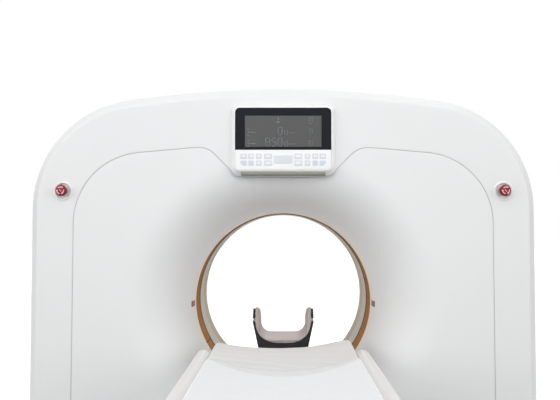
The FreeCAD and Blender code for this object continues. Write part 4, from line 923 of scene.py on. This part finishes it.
SEGMENTS = {"0": "abcdef", "5": "acdfg", "8": "abcdefg"}


def digit(character, x, z, width, height, y, weight):
    """A seven-segment digit as strips. a is the top bar, then clockwise to f, and g is the middle bar."""
    right, top, middle = x + width, z + height, z + height / 2
    bars = {
        "a": ((x, right), (top - weight, top)),
        "b": ((right - weight, right), (middle, top)),
        "c": ((right - weight, right), (z, middle)),
        "d": ((x, right), (z, z + weight)),
        "e": ((x, x + weight), (z, middle)),
        "f": ((x, x + weight), (middle, top)),
        "g": ((x, right), (middle - weight / 2, middle + weight / 2)),
    }
    return [strip(*bars[name], y) for name in SEGMENTS[character]]


# character, left edge, low edge from the screen's middle, width, height, stroke
FIGURES = (
    ("0", -0.0190, -0.0140, 0.0160, 0.0290, 0.0022),
    ("0", 0.0040, -0.0135, 0.0130, 0.0165, 0.0018),
    ("8", -0.0630, -0.0540, 0.0170, 0.0310, 0.0022),
    ("5", -0.0405, -0.0540, 0.0160, 0.0310, 0.0022),
    ("0", -0.0190, -0.0540, 0.0160, 0.0310, 0.0022),
    ("0", 0.0040, -0.0540, 0.0130, 0.0175, 0.0018),
    ("0", 0.0910, 0.0260, 0.0120, 0.0220, 0.0016),
    ("0", 0.0910, -0.0130, 0.0120, 0.0220, 0.0016),
    ("0", 0.0910, -0.0530, 0.0120, 0.0220, 0.0016),
)
# marks beside each of the two readings: two x values, and two heights from the reading's middle
READING_MARKS = (
    (0.0225, 0.0275, -0.0012, 0.0012),
    (0.0295, 0.0345, -0.0012, 0.0012),
    (0.0365, 0.0415, -0.0012, 0.0012),
    (-0.1215, -0.0965, 0.0010, 0.0030),
    (-0.1245, -0.1225, -0.0030, 0.0070),
    (-0.1265, -0.1205, -0.0110, -0.0085),
    (-0.1265, -0.1205, 0.0125, 0.0150),
)
READING_MIDDLES = (-0.006, -0.0455)
TOP_MARKS = ((-0.0185, -0.0155, 0.034, 0.050), (-0.0245, -0.0120, 0.030, 0.034))


def screen_marks():
    """Unlit figures of the display: the two readings, the three small counters and the line marks beside them."""
    y = DISPLAY_Y + 0.0004
    middle = (SCREEN_Z[0] + SCREEN_Z[1]) / 2
    marks = []
    for character, x, z, width, height, weight in FIGURES:
        marks += digit(character, x, middle + z, width, height, y, weight)
    groups = [(middle + shift, READING_MARKS) for shift in READING_MIDDLES] + [(middle, TOP_MARKS)]
    for base, group in groups:
        marks += [strip((x0, x1), (base + z0, base + z1), y) for x0, x1, z0, z1 in group]
    thing = joined("screen_marks", [(mark, False, False) for mark in marks], outside=PANEL_VIEWER)
    return dress(walled(thing, 0.0002, 1.0), screen_segment, "gantry", "display_grey")


screen_marks()

# keypad: the film, sixteen small keys in two mirrored blocks, and the large one in the middle
plate(
    "keypad_film", oblong((-GLASS_HALF, GLASS_HALF), (DISPLAY_Z[0] + 0.0050, GLASS_LOW - 0.0003), 0.0008, 0.0150),
    (DISPLAY_Y, DISPLAY_Y + 0.0025), 0.0004, keypad_film, "gantry", "keypad_white", "keypad_overlay",
)
KEY_COLUMNS = ((0.0530, 0.0285), (0.0860, 0.0190), (0.1130, 0.0200), (0.1395, 0.0220))  # middle and width
KEY_ROWS = (1.5433, 1.5193)
KEY_HEIGHT = 0.019
KEY_SOFT, KEY_CUT, KEY_BORDER = 0.0022, 0.010, 0.009


def key_outline(x, z, width, height, cut, mirrored):
    """Corners of a key, whose low outer corner may be cut off."""
    right, left, top, low = x + width / 2, x - width / 2, z + height / 2, z - height / 2
    corners = [(left, low), (left, top), (right, top)]
    corners += [(right, low + cut), (right - cut, low)] if cut else [(right, low)]
    if mirrored:
        corners = [(-u, v) for u, v in reversed(corners)]
    return [(u, v, KEY_SOFT) for u, v in corners]


def key_plate(name, outline, front, back, soft, material):
    """Plate of the keypad between two distances behind the panel's front."""
    plate(name, outline, (DISPLAY_Y + front, DISPLAY_Y + back), soft, material, "gantry", "keypad_white")


for column, (key_x, key_width) in enumerate(KEY_COLUMNS):
    for row, key_z in enumerate(KEY_ROWS):
        cut = KEY_CUT if row == 1 and column == 3 else 0.0
        tint = key_blue_face if row == 1 and column > 1 else key_face
        face_size = key_width - KEY_BORDER, KEY_HEIGHT - KEY_BORDER
        for mirrored in (False, True):
            tag = f"{'left' if mirrored else 'right'}_{column}_{row}"
            border = key_outline(key_x, key_z, key_width, KEY_HEIGHT, cut, mirrored)
            face = key_outline(key_x, key_z + 0.0006, *face_size, cut * 0.55, mirrored)
            key_plate("key_" + tag, border, -0.0009, 0.0002, 0.0005, key_border)
            key_plate("key_face_" + tag, face, -0.0012, -0.0008, 0.0003, tint)
plate(
    "start_key_cap", key_outline(0.0, 1.5329, 0.065, 0.028, 0.0, False), (DISPLAY_Y - 0.0022, DISPLAY_Y + 0.0060),
    0.0012, start_key_face, "start_key", "key_blue", "start_key",
)


# ---- stop buttons ----
MARK_R = 0.0118
MARK_STARTS, MARK_TURN = (-46.0, 74.0, 194.0), 92.0  # degrees clockwise from the top
MARK_HALVES = np.array([0.0020] * 10 + [0.0043, 0.0030, 0.0016, 0.0002])  # half widths of a stroke and its head


def stop_button(side, tag):
    """Dished collar with a soft rim, and a red mushroom head with three turn marks and a small slanting one."""
    x, z = side * STOP_X, STOP_Z
    viewer = (x, -3.0, z)
    dish, rim = FRONT_Y + 0.006, FRONT_Y - 0.0025
    corners = [(0.0130, dish, 0.0), (0.0262, dish, 0.004), (0.0272, rim, 0.001), (0.0345, rim, 0.002)]
    collar = profile_of(corners + [(0.0345, FRONT_Y, 0.0)], line_step=0.01)
    thing = surface("stop_collar_" + tag, turned(collar, (x, z), 96), viewer, close_rows=True, sharp=50.0)
    dress(walled(thing, 0.002), collar_plastic, "gantry", "collar_white", "estop_collars")
    back, crown = FRONT_Y - 0.013, FRONT_Y - 0.028
    corners = [(0.0, back, 0.0), (0.0195, back, 0.002), (0.0205, back - 0.007, 0.002), (0.0165, crown, 0.004)]
    corners += [(0.0100, crown, 0.003), (0.0092, crown + 0.0010, 0.002), (0.0, crown + 0.0013, 0.0)]
    head = profile_of(corners, arc_step=12.0, line_step=0.01)
    thing = joined("stop_head_" + tag, [(turned(head, (x, z), 96), True, False)], sharp=50.0)
    dress(thing, stop_red, "stop_head_" + tag, "stop_red", "estop_head_" + tag)
    grids = []
    for start in MARK_STARTS:
        angle = np.radians(np.linspace(start, start + MARK_TURN, len(MARK_HALVES)))[:, None]
        radius = MARK_R + np.stack([-MARK_HALVES, MARK_HALVES], axis=-1)
        grids.append(upright(x + radius * np.sin(angle), z + radius * np.cos(angle), crown - 0.0001))
    along, sides = np.linspace(-1.0, 1.0, 9)[:, None], np.array([-1.0, 1.0])
    bar_x = x + 0.0030 * along + 0.0013 * sides
    bar_z = z + (0.0018 * np.sin(math.pi * along) - 0.0048 * along) + 0.0006 * sides
    grids.append(upright(bar_x, bar_z, crown + 0.0009))
    thing = joined("stop_arrows_" + tag, [(grid, False, False) for grid in grids], outside=viewer)
    dress(walled(thing, 0.0003, 1.0), arrow_white, "stop_head_" + tag, "stop_red")


stop_button(-1, "left")
stop_button(1, "right")


# ---- table ----
for node, material, body, slot, radius in (
    ("table_tray", table_paint, "table", "table_white", 0.0035),
    ("table_nose_cap", table_paint, "table", "table_white", 0.0060),
    ("table_foot_cap", table_paint, "table", "table_white", 0.0050),
    ("upper_skirt", skirt_paint, "table", "skirt_white", 0.0015),
    ("middle_skirt", skirt_paint, "lift_stage", "skirt_white", 0.0015),
    ("lower_skirt", skirt_paint, "gantry", "skirt_white", 0.0015),
    ("table_base_plate", frame_paint, "gantry", "frame_steel", 0.0020),
    ("floor_duct", plinth_plastic, "gantry", "plinth_grey", 0.0020),
    ("plinth_cover", plinth_plastic, "gantry", "plinth_grey", 0.0020),
    ("cradle_shell", laminate, "cradle", "cradle_white", 0.0030),
    ("cradle_socket", laminate, "cradle", "cradle_white", 0.0020),
    ("head_holder_shell", holder_carbon, "cradle", "holder_black", 0.0018),
    ("head_holder_tongue", holder_carbon, "cradle", "holder_black", 0.0010),
):
    soft_copy(node, material, body, slot, radius)

TROUGH_R = (CRADLE_HALF**2 + CRADLE_SAG**2) / (2 * CRADLE_SAG)


def trough(x):
    """How far the cradle's arc has risen at x."""
    return TROUGH_R - np.sqrt(TROUGH_R**2 - np.asarray(x) ** 2)


def ripple(x, y):
    """Long soft folds across the mattress cloth: waves whose crests bend, fan out to the right and fade."""
    fan = 1 - 0.55 * np.clip(x / PAD_HALF, -0.2, 1.0)
    bend = 0.018 * np.sin(5.2 * x + 0.7) + 0.010 * np.sin(13.0 * x + 2.0 + 9.0 * y)
    along = (PAD_Y[1] - y) * fan + bend
    folds = 0.55 * np.sin(2 * math.pi * along / 0.085 + 1.4 * np.sin(3.1 * x))
    folds += 0.30 * np.sin(2 * math.pi * along / 0.047 + 0.8 + 2.1 * np.sin(4.3 * x + 1.0))
    folds += 0.15 * np.sin(2 * math.pi * along / 0.029 + 2.4 * x * 6.0)
    fade = 0.65 + 0.35 * np.sin(4.0 * x + 7.0 * y)
    return folds * fade


def smooth_step(value, low, high):
    """Rises softly from 0 at low to 1 at high."""
    share = np.clip((value - low) / (high - low), 0.0, 1.0)
    return share**2 * (3 - 2 * share)


PAD_EDGE_R, PAD_CORNER_R = 0.017, 0.035
FOLDS_Y = (-0.66, -0.50)  # where the folds grow to their full height
FOLD_HEIGHT, HEAD_FOLD_HEIGHT = 0.0008, 0.0034


def mattress_top(x, y):
    """Height of the mattress over the trough: its thickness, its folds, which are strongest near the head end,
    a soft swell at that end and a lifted right corner."""
    near_head = smooth_step(y, *FOLDS_Y)
    puff = smooth_step(y, -0.50, -0.30) * (0.0065 + 0.0020 * np.sin(11.0 * x + 1.0))
    corner = smooth_step(y, -0.42, -0.27) * smooth_step(x, 0.06, 0.22) * 0.0095
    folds = ripple(x, y) * (FOLD_HEIGHT + HEAD_FOLD_HEIGHT * near_head)
    return CRADLE_LOW + CRADLE_T + PAD_CLEAR + PAD_T + trough(x) + folds - 0.0012 + puff + corner


def quarter(distance, radius):
    """Height of a quarter circle at a distance from its foot, as a share of its radius."""
    return np.sqrt(np.maximum(0.0, 1 - (1 - np.clip(distance / radius, 0, 1)) ** 2))


def mattress():
    """Pad in the trough: a top and a bottom grid that meet in a rounded edge all round."""
    low_y, high_y = PAD_Y
    across = np.sin(np.linspace(-1, 1, 81) * math.pi / 2)
    foot = low_y + 0.05 * (1 - np.cos(np.linspace(0, math.pi / 2, 10)))
    coarse, fine = np.linspace(low_y + 0.06, -0.72, 50), np.linspace(-0.70, high_y - 0.03, 90)
    head = high_y - 0.03 * (1 - np.sin(np.linspace(0.15, math.pi / 2, 12)))
    along = np.concatenate([foot, coarse, fine, head])
    from_end = np.minimum(along - low_y, high_y - along)
    width = PAD_HALF - PAD_CORNER_R * (1 - quarter(from_end, PAD_CORNER_R))
    x = across[None, :] * width[:, None]
    y = np.broadcast_to(along[:, None], x.shape)
    swell = quarter(width[:, None] - np.abs(x), PAD_EDGE_R) * quarter(from_end[:, None], PAD_EDGE_R)
    bottom_z = CRADLE_LOW + CRADLE_T + PAD_CLEAR + trough(x)
    middle = bottom_z + PAD_T * 0.42
    halves = [np.stack([x, y, middle + (z - middle) * swell], axis=-1) for z in (mattress_top(x, y), bottom_z)]
    thing = joined("mattress_pad", [(half, False, False) for half in halves], sharp=180.0)
    return dress(thing, under_cloth, "cradle", "mattress_cloth", "mattress")


mattress()


def sheet_front(x):
    """Where the sheet's front edge lies: it bows back towards the foot end in the middle."""
    return SHEET_FRONT_Y + 0.080 * (np.asarray(x) / PAD_HALF) ** 2


SHEET_OUT = 0.0012  # how far the sheet lies outside the mattress's sides
SHEET_BEND = 0.016  # radius of its bend down the sides
SHEET_T = 0.0010


def sheet():
    """Thin cloth over the mattress, tucked down its two long sides.

    The grid runs across by arc length and along y. Its height is the mattress's own top or the trough's, whichever
    is higher, plus a faint wave, and less the fall at the sides. The hem lies a little higher than the rest.
    """
    half = PAD_HALF + SHEET_OUT
    flat = half - SHEET_BEND
    x_top = np.linspace(-1, 1, 61) * flat
    bend = np.linspace(0, math.pi / 2, 8)[1:]
    fall = np.linspace(SHEET_BEND, SHEET_DROP, 6)[1:]
    right_x = np.concatenate([flat + SHEET_BEND * np.sin(bend), np.full(len(fall), half)])
    right_drop = np.concatenate([SHEET_BEND * (1 - np.cos(bend)), fall])
    x = np.concatenate([-right_x[::-1], x_top, right_x])[None, :]
    drop = np.concatenate([right_drop[::-1], np.zeros(len(x_top)), right_drop])[None, :]
    front = sheet_front(x)
    hem = front - HEM * (1 - 0.85 * np.clip(x / half, -1, 1) ** 2)
    body = SHEET_START_Y + (hem - SHEET_START_Y) * np.linspace(0, 1, 112)[:, None] ** 0.8
    y = np.concatenate([body, hem + (front - hem) * np.linspace(0, 1, 9)[1:, None]])
    rise = CRADLE_LOW + CRADLE_T + PAD_CLEAR + PAD_T + trough(np.clip(x, -flat, flat))
    wave = 0.0005 * np.sin(9.0 * x + 6.0 * y) * np.sin(5.0 * y + 1.0)
    lift = np.maximum(0.0, mattress_top(x, y) + 0.0014 - rise)
    z = rise - drop + 0.0006 + wave + lift * (drop < 0.012)
    z[len(body):] += 0.0007
    grid = np.stack([np.broadcast_to(x, y.shape), y, z], axis=-1)
    thing = surface("table_sheet", grid, (0.0, -1.4, 5.0), sharp=180.0)
    walled(thing, SHEET_T)
    dress(thing, top_cloth, "cradle", "sheet_white", "sheet")
    thing.data.materials.append(hem_cloth)
    in_hem = np.arange(len(thing.data.polygons)) >= (len(body) - 1) * (x.size - 1)
    thing.data.polygons.foreach_set("material_index", in_hem.astype(np.int32))
    return thing


sheet()


# ---- head holder ----
FOAM_Y = (0.067, 0.313)
FOAM_HALF, FOAM_T = 0.1207, 0.022  # half the width over both arms, and the foam's thickness
FOAM_LOW, FOAM_SEAT, FOAM_TOP = AXIS_Z - 0.1977, AXIS_Z - 0.179, AXIS_Z - 0.042  # under side, seat and arms' ends
FOAM_OUTER_R, FOAM_INNER_R = 0.0957, 0.042
FOAM_SQUARE = 0.28  # how round the section is: 1 is an ellipse
ARM_FALL, ARM_ROOT_Z, ARM_TIP = 0.034, 0.900, 0.011
LOBE = (AXIS_Z - 0.097, 0.0070, 0.195)  # height, reach and length of the foam that swells through the strap slots
LOBE_HALF = 0.0055


def u_path(half, low, radius):
    """A U in front view, from its left end down and round to its right end."""
    ends = (-half, FOAM_TOP, 0.0), (half, FOAM_TOP, 0.0)
    return profile_of([ends[0], (-half, low, radius), (half, low, radius), ends[1]], arc_step=3.0, line_step=0.004)


def spaced(path):
    """A path at even steps, with closer ones where the arms' tops are rounded, and each point's way to an end."""
    reach = np.concatenate([[0], np.cumsum(np.linalg.norm(np.diff(path, axis=0), axis=1))])
    tip = ARM_TIP * (1 - np.cos(np.linspace(0, math.pi / 2, 9)))
    even = np.linspace(ARM_TIP + 0.003, reach[-1] - ARM_TIP - 0.003, 124)
    at = np.concatenate([tip, even, reach[-1] - tip[::-1]])
    return np.stack([np.interp(at, reach, path[:, k]) for k in (0, 1)], axis=-1), np.minimum(at, reach[-1] - at)


def foam_lining():
    """Foam U: a rounded section, as long as the holder, carried down one arm, across the floor and up the other.

    The section is a squared ellipse between an outer and an inner U, and shrinks in a quarter circle at the ends.
    The inner side tapers towards the arms' tops, a lobe swells outwards at the slots' height as a bell curve, and
    all that is above the arms' root is squeezed in height so that the tops fall towards the far end.
    """
    y0, y1 = FOAM_Y
    outer, from_tip = spaced(u_path(FOAM_HALF, FOAM_LOW, FOAM_OUTER_R))
    inner, _ = spaced(u_path(FOAM_HALF - FOAM_T, FOAM_SEAT, FOAM_INNER_R))
    turn = np.linspace(0, 2 * math.pi, 40, endpoint=False)
    u, v = (np.sign(wave) * np.abs(wave) ** FOAM_SQUARE for wave in (np.cos(turn), np.sin(turn)))
    ends = np.sqrt(1 - (1 - np.clip(from_tip / ARM_TIP, 0.01, 1.0)) ** 2)
    middle, across = (outer + inner) / 2, (inner - outer) / 2
    spots = middle[:, None, :] + across[:, None, :] * (u[None, :, None] * ends[:, None, None])
    depth = (y0 + y1) / 2 + (y1 - y0) / 2 * v[None, :] * (0.96 + 0.04 * ends[:, None])
    side, height = spots[..., 0], spots[..., 1]
    taper = np.clip((height - 0.885) / (FOAM_TOP - 0.885), 0.0, 1.0) * 0.006
    is_inner = np.clip((FOAM_HALF - FOAM_T * 0.5 - np.abs(side)) / (FOAM_T * 0.3), 0.0, 1.0)
    lobe_z, lobe_reach, lobe_length = LOBE
    bell_curve = np.exp(-(((height - lobe_z) / LOBE_HALF) ** 2))
    bulge = lobe_reach * bell_curve * (depth < y0 + lobe_length) * (1 - is_inner)
    side = side + np.sign(side) * (taper * is_inner + bulge)
    squeeze = (FOAM_TOP - ARM_FALL * (depth - y0) / (y1 - y0) - ARM_ROOT_Z) / (FOAM_TOP - ARM_ROOT_Z)
    height = np.where(height > ARM_ROOT_Z, ARM_ROOT_Z + (height - ARM_ROOT_Z) * squeeze, height)
    low_share = np.clip((FOAM_LOW + 0.030 - height) / 0.024, 0.0, 1.0)
    tuck = 0.010 * low_share * np.clip((y0 + 0.02 - depth) / 0.02, 0.0, 1.0)
    grid = np.stack([side, depth + tuck, height], axis=-1)
    caps = [np.stack([grid[k], np.broadcast_to(grid[k].mean(axis=0), grid[k].shape)]) for k in (0, -1)]
    thing = joined("holder_foam", [(part, False, True) for part in (grid, *caps)], sharp=180.0)
    return dress(thing, foam_skin, "cradle", "pad_mauve", "head_holder_pad")


foam_lining()

# ---- finishes of the solids that show only inside, below or in the gaps ----
INSIDE = {
    frame_paint: [
        "gantry_base_frame", "stator_frame", "motor_mount_plate", "column_outer", "column_middle", "column_inner",
    ],
    bare_steel: ["main_bearing", "slide_rails", "motor_pulley"],
    bare_aluminium: ["rotor_drum", "beam_collimator"],
    slip_brass: ["slip_ring"],
    belt_rubber: ["drive_belt"],
    motor_paint: ["drive_motor", "lift_motor", "cradle_drive_motor"],
    cast_grey: ["xray_tube", "high_voltage_generator", "tube_cooler", "detector_arc"],
    cast_iron_paint: ["balance_weights"],
    slide_plastic: ["glide_pads", "cradle_runners", "brush_block"],
    shaft_black: ["estop_plunger_left", "estop_plunger_right"],
}
for material, names in INSIDE.items():
    for node in names:
        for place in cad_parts[node].material_slots:
            place.material = material

# ---- camera, light and floor ----
CAMERA_PLACE = (0.0, -2.765, 1.291)
CAMERA_TILT = 2.4  # degrees up
FOCAL, PICTURE_WIDTH = 667.0, 560.0  # in pixels of the photo
SENSOR_WIDTH = 36.0
camera_data = bpy.data.cameras.new("photo_camera")
camera_data.sensor_width = SENSOR_WIDTH
camera_data.lens = FOCAL / PICTURE_WIDTH * SENSOR_WIDTH
camera_data.clip_end = 200.0
camera_data.shift_x = -0.0057
camera = bpy.data.objects.new("photo_camera", camera_data)
camera.location = CAMERA_PLACE
camera.rotation_euler = Euler((math.radians(90.0 + CAMERA_TILT), 0.0, 0.0))
bpy.context.scene.collection.objects.link(camera)
bpy.context.scene.camera = camera

# name, place, aim, size, watts
LAMPS = (
    ("key_lamp", (0.0, -3.6, 3.7), (0.0, 0.0, 1.5), (4.0, 2.0), 57.0),
    ("left_lamp", (-4.2, -3.4, 2.3), (0.0, 0.0, 1.1), (3.0, 3.0), 76.0),
    ("right_lamp", (4.2, -3.4, 2.3), (0.0, 0.0, 1.1), (3.0, 3.0), 66.0),
    ("overhead_lamp", (0.0, -1.5, 5.0), (0.0, -0.5, 0.0), (4.0, 4.0), 10.0),
    ("rear_lamp", (0.5, 4.2, 4.0), (0.0, 0.2, 1.0), (4.0, 3.0), 90.0),
)
for name, place, aim, size, watts in LAMPS:
    lamp_data = bpy.data.lights.new(name, "AREA")
    lamp_data.shape = "RECTANGLE"
    lamp_data.size, lamp_data.size_y = size
    lamp_data.energy = watts
    lamp = bpy.data.objects.new(name, lamp_data)
    lamp.location = place
    x, y, z = np.subtract(aim, place)
    lamp.rotation_euler = Euler((math.atan2(math.hypot(x, y), -z), 0.0, math.atan2(-x, y)))
    bpy.context.scene.collection.objects.link(lamp)

# white where it is seen, and a softer light, a little stronger from above, on everything else
SKY_RISE = (-0.5, 0.8)
SKY_LEVEL = (0.44, 0.52)
world = bpy.data.worlds.new("studio")
bpy.context.scene.world = world
world.use_nodes = True
studio = world.node_tree
heading = added(studio, "TexCoord", {}).outputs["Generated"]
rise = added(studio, "SeparateXYZ", {"Vector": heading}).outputs["Z"]
level = ranged(studio, rise, SKY_RISE, SKY_LEVEL)
sky = fed(studio, studio.nodes["Background"], {"Color": WHITE, "Strength": level}).outputs["Background"]
shown = added(studio, "Background", {"Color": WHITE}).outputs["Background"]
mixed = added(studio, "MixShader", {"Fac": seen_directly(studio), 1: sky, 2: shown})
fed(studio, studio.nodes["World Output"], {"Surface": mixed.outputs["Shader"]})

FLOOR_HALF = 40.0
FLOOR_REACH = (2.0, 6.0)  # the distances between which the floor's glow grows
FLOOR_GLOW = (0.38, 0.72)


def floor_finish():
    """Pale floor: what the camera sees of it is white but for the shadows on it, and it throws little light up.
    Its own glow grows with the distance from the middle of the floor, so that it ends in the white behind."""
    material = finish("floor_paint", (0.18, 0.18, 0.18), 0.9, spread=0.01, bump=0.0)
    tree = material.node_tree
    place = added(tree, "TexCoord", {}).outputs["Object"]
    reach = added(tree, "VectorMath", {0: place}, "LENGTH").outputs["Value"]
    glow = added(tree, "Emission", {"Strength": ranged(tree, reach, FLOOR_REACH, FLOOR_GLOW)})
    pale = added(tree, "BsdfDiffuse", {"Color": (0.9, 0.9, 0.9, 1.0)})
    bright = added(tree, "AddShader", {0: pale.outputs["BSDF"], 1: glow.outputs["Emission"]}).outputs["Shader"]
    dull = tree.nodes["Principled BSDF"].outputs["BSDF"]
    either = added(tree, "MixShader", {"Fac": seen_directly(tree), 1: dull, 2: bright})
    fed(tree, tree.nodes["Material Output"], {"Surface": either.outputs["Shader"]})
    return material


floor_corners = FLOOR_HALF * np.array([[-1.0, -1.0, 0.0], [1.0, -1.0, 0.0], [1.0, 1.0, 0.0], [-1.0, 1.0, 0.0]])
floor = new_mesh("floor", floor_corners, np.array([[0, 1, 2, 3]]))
floor.data.materials.append(floor_finish())

bpy.context.scene.view_settings.view_transform = "Standard"
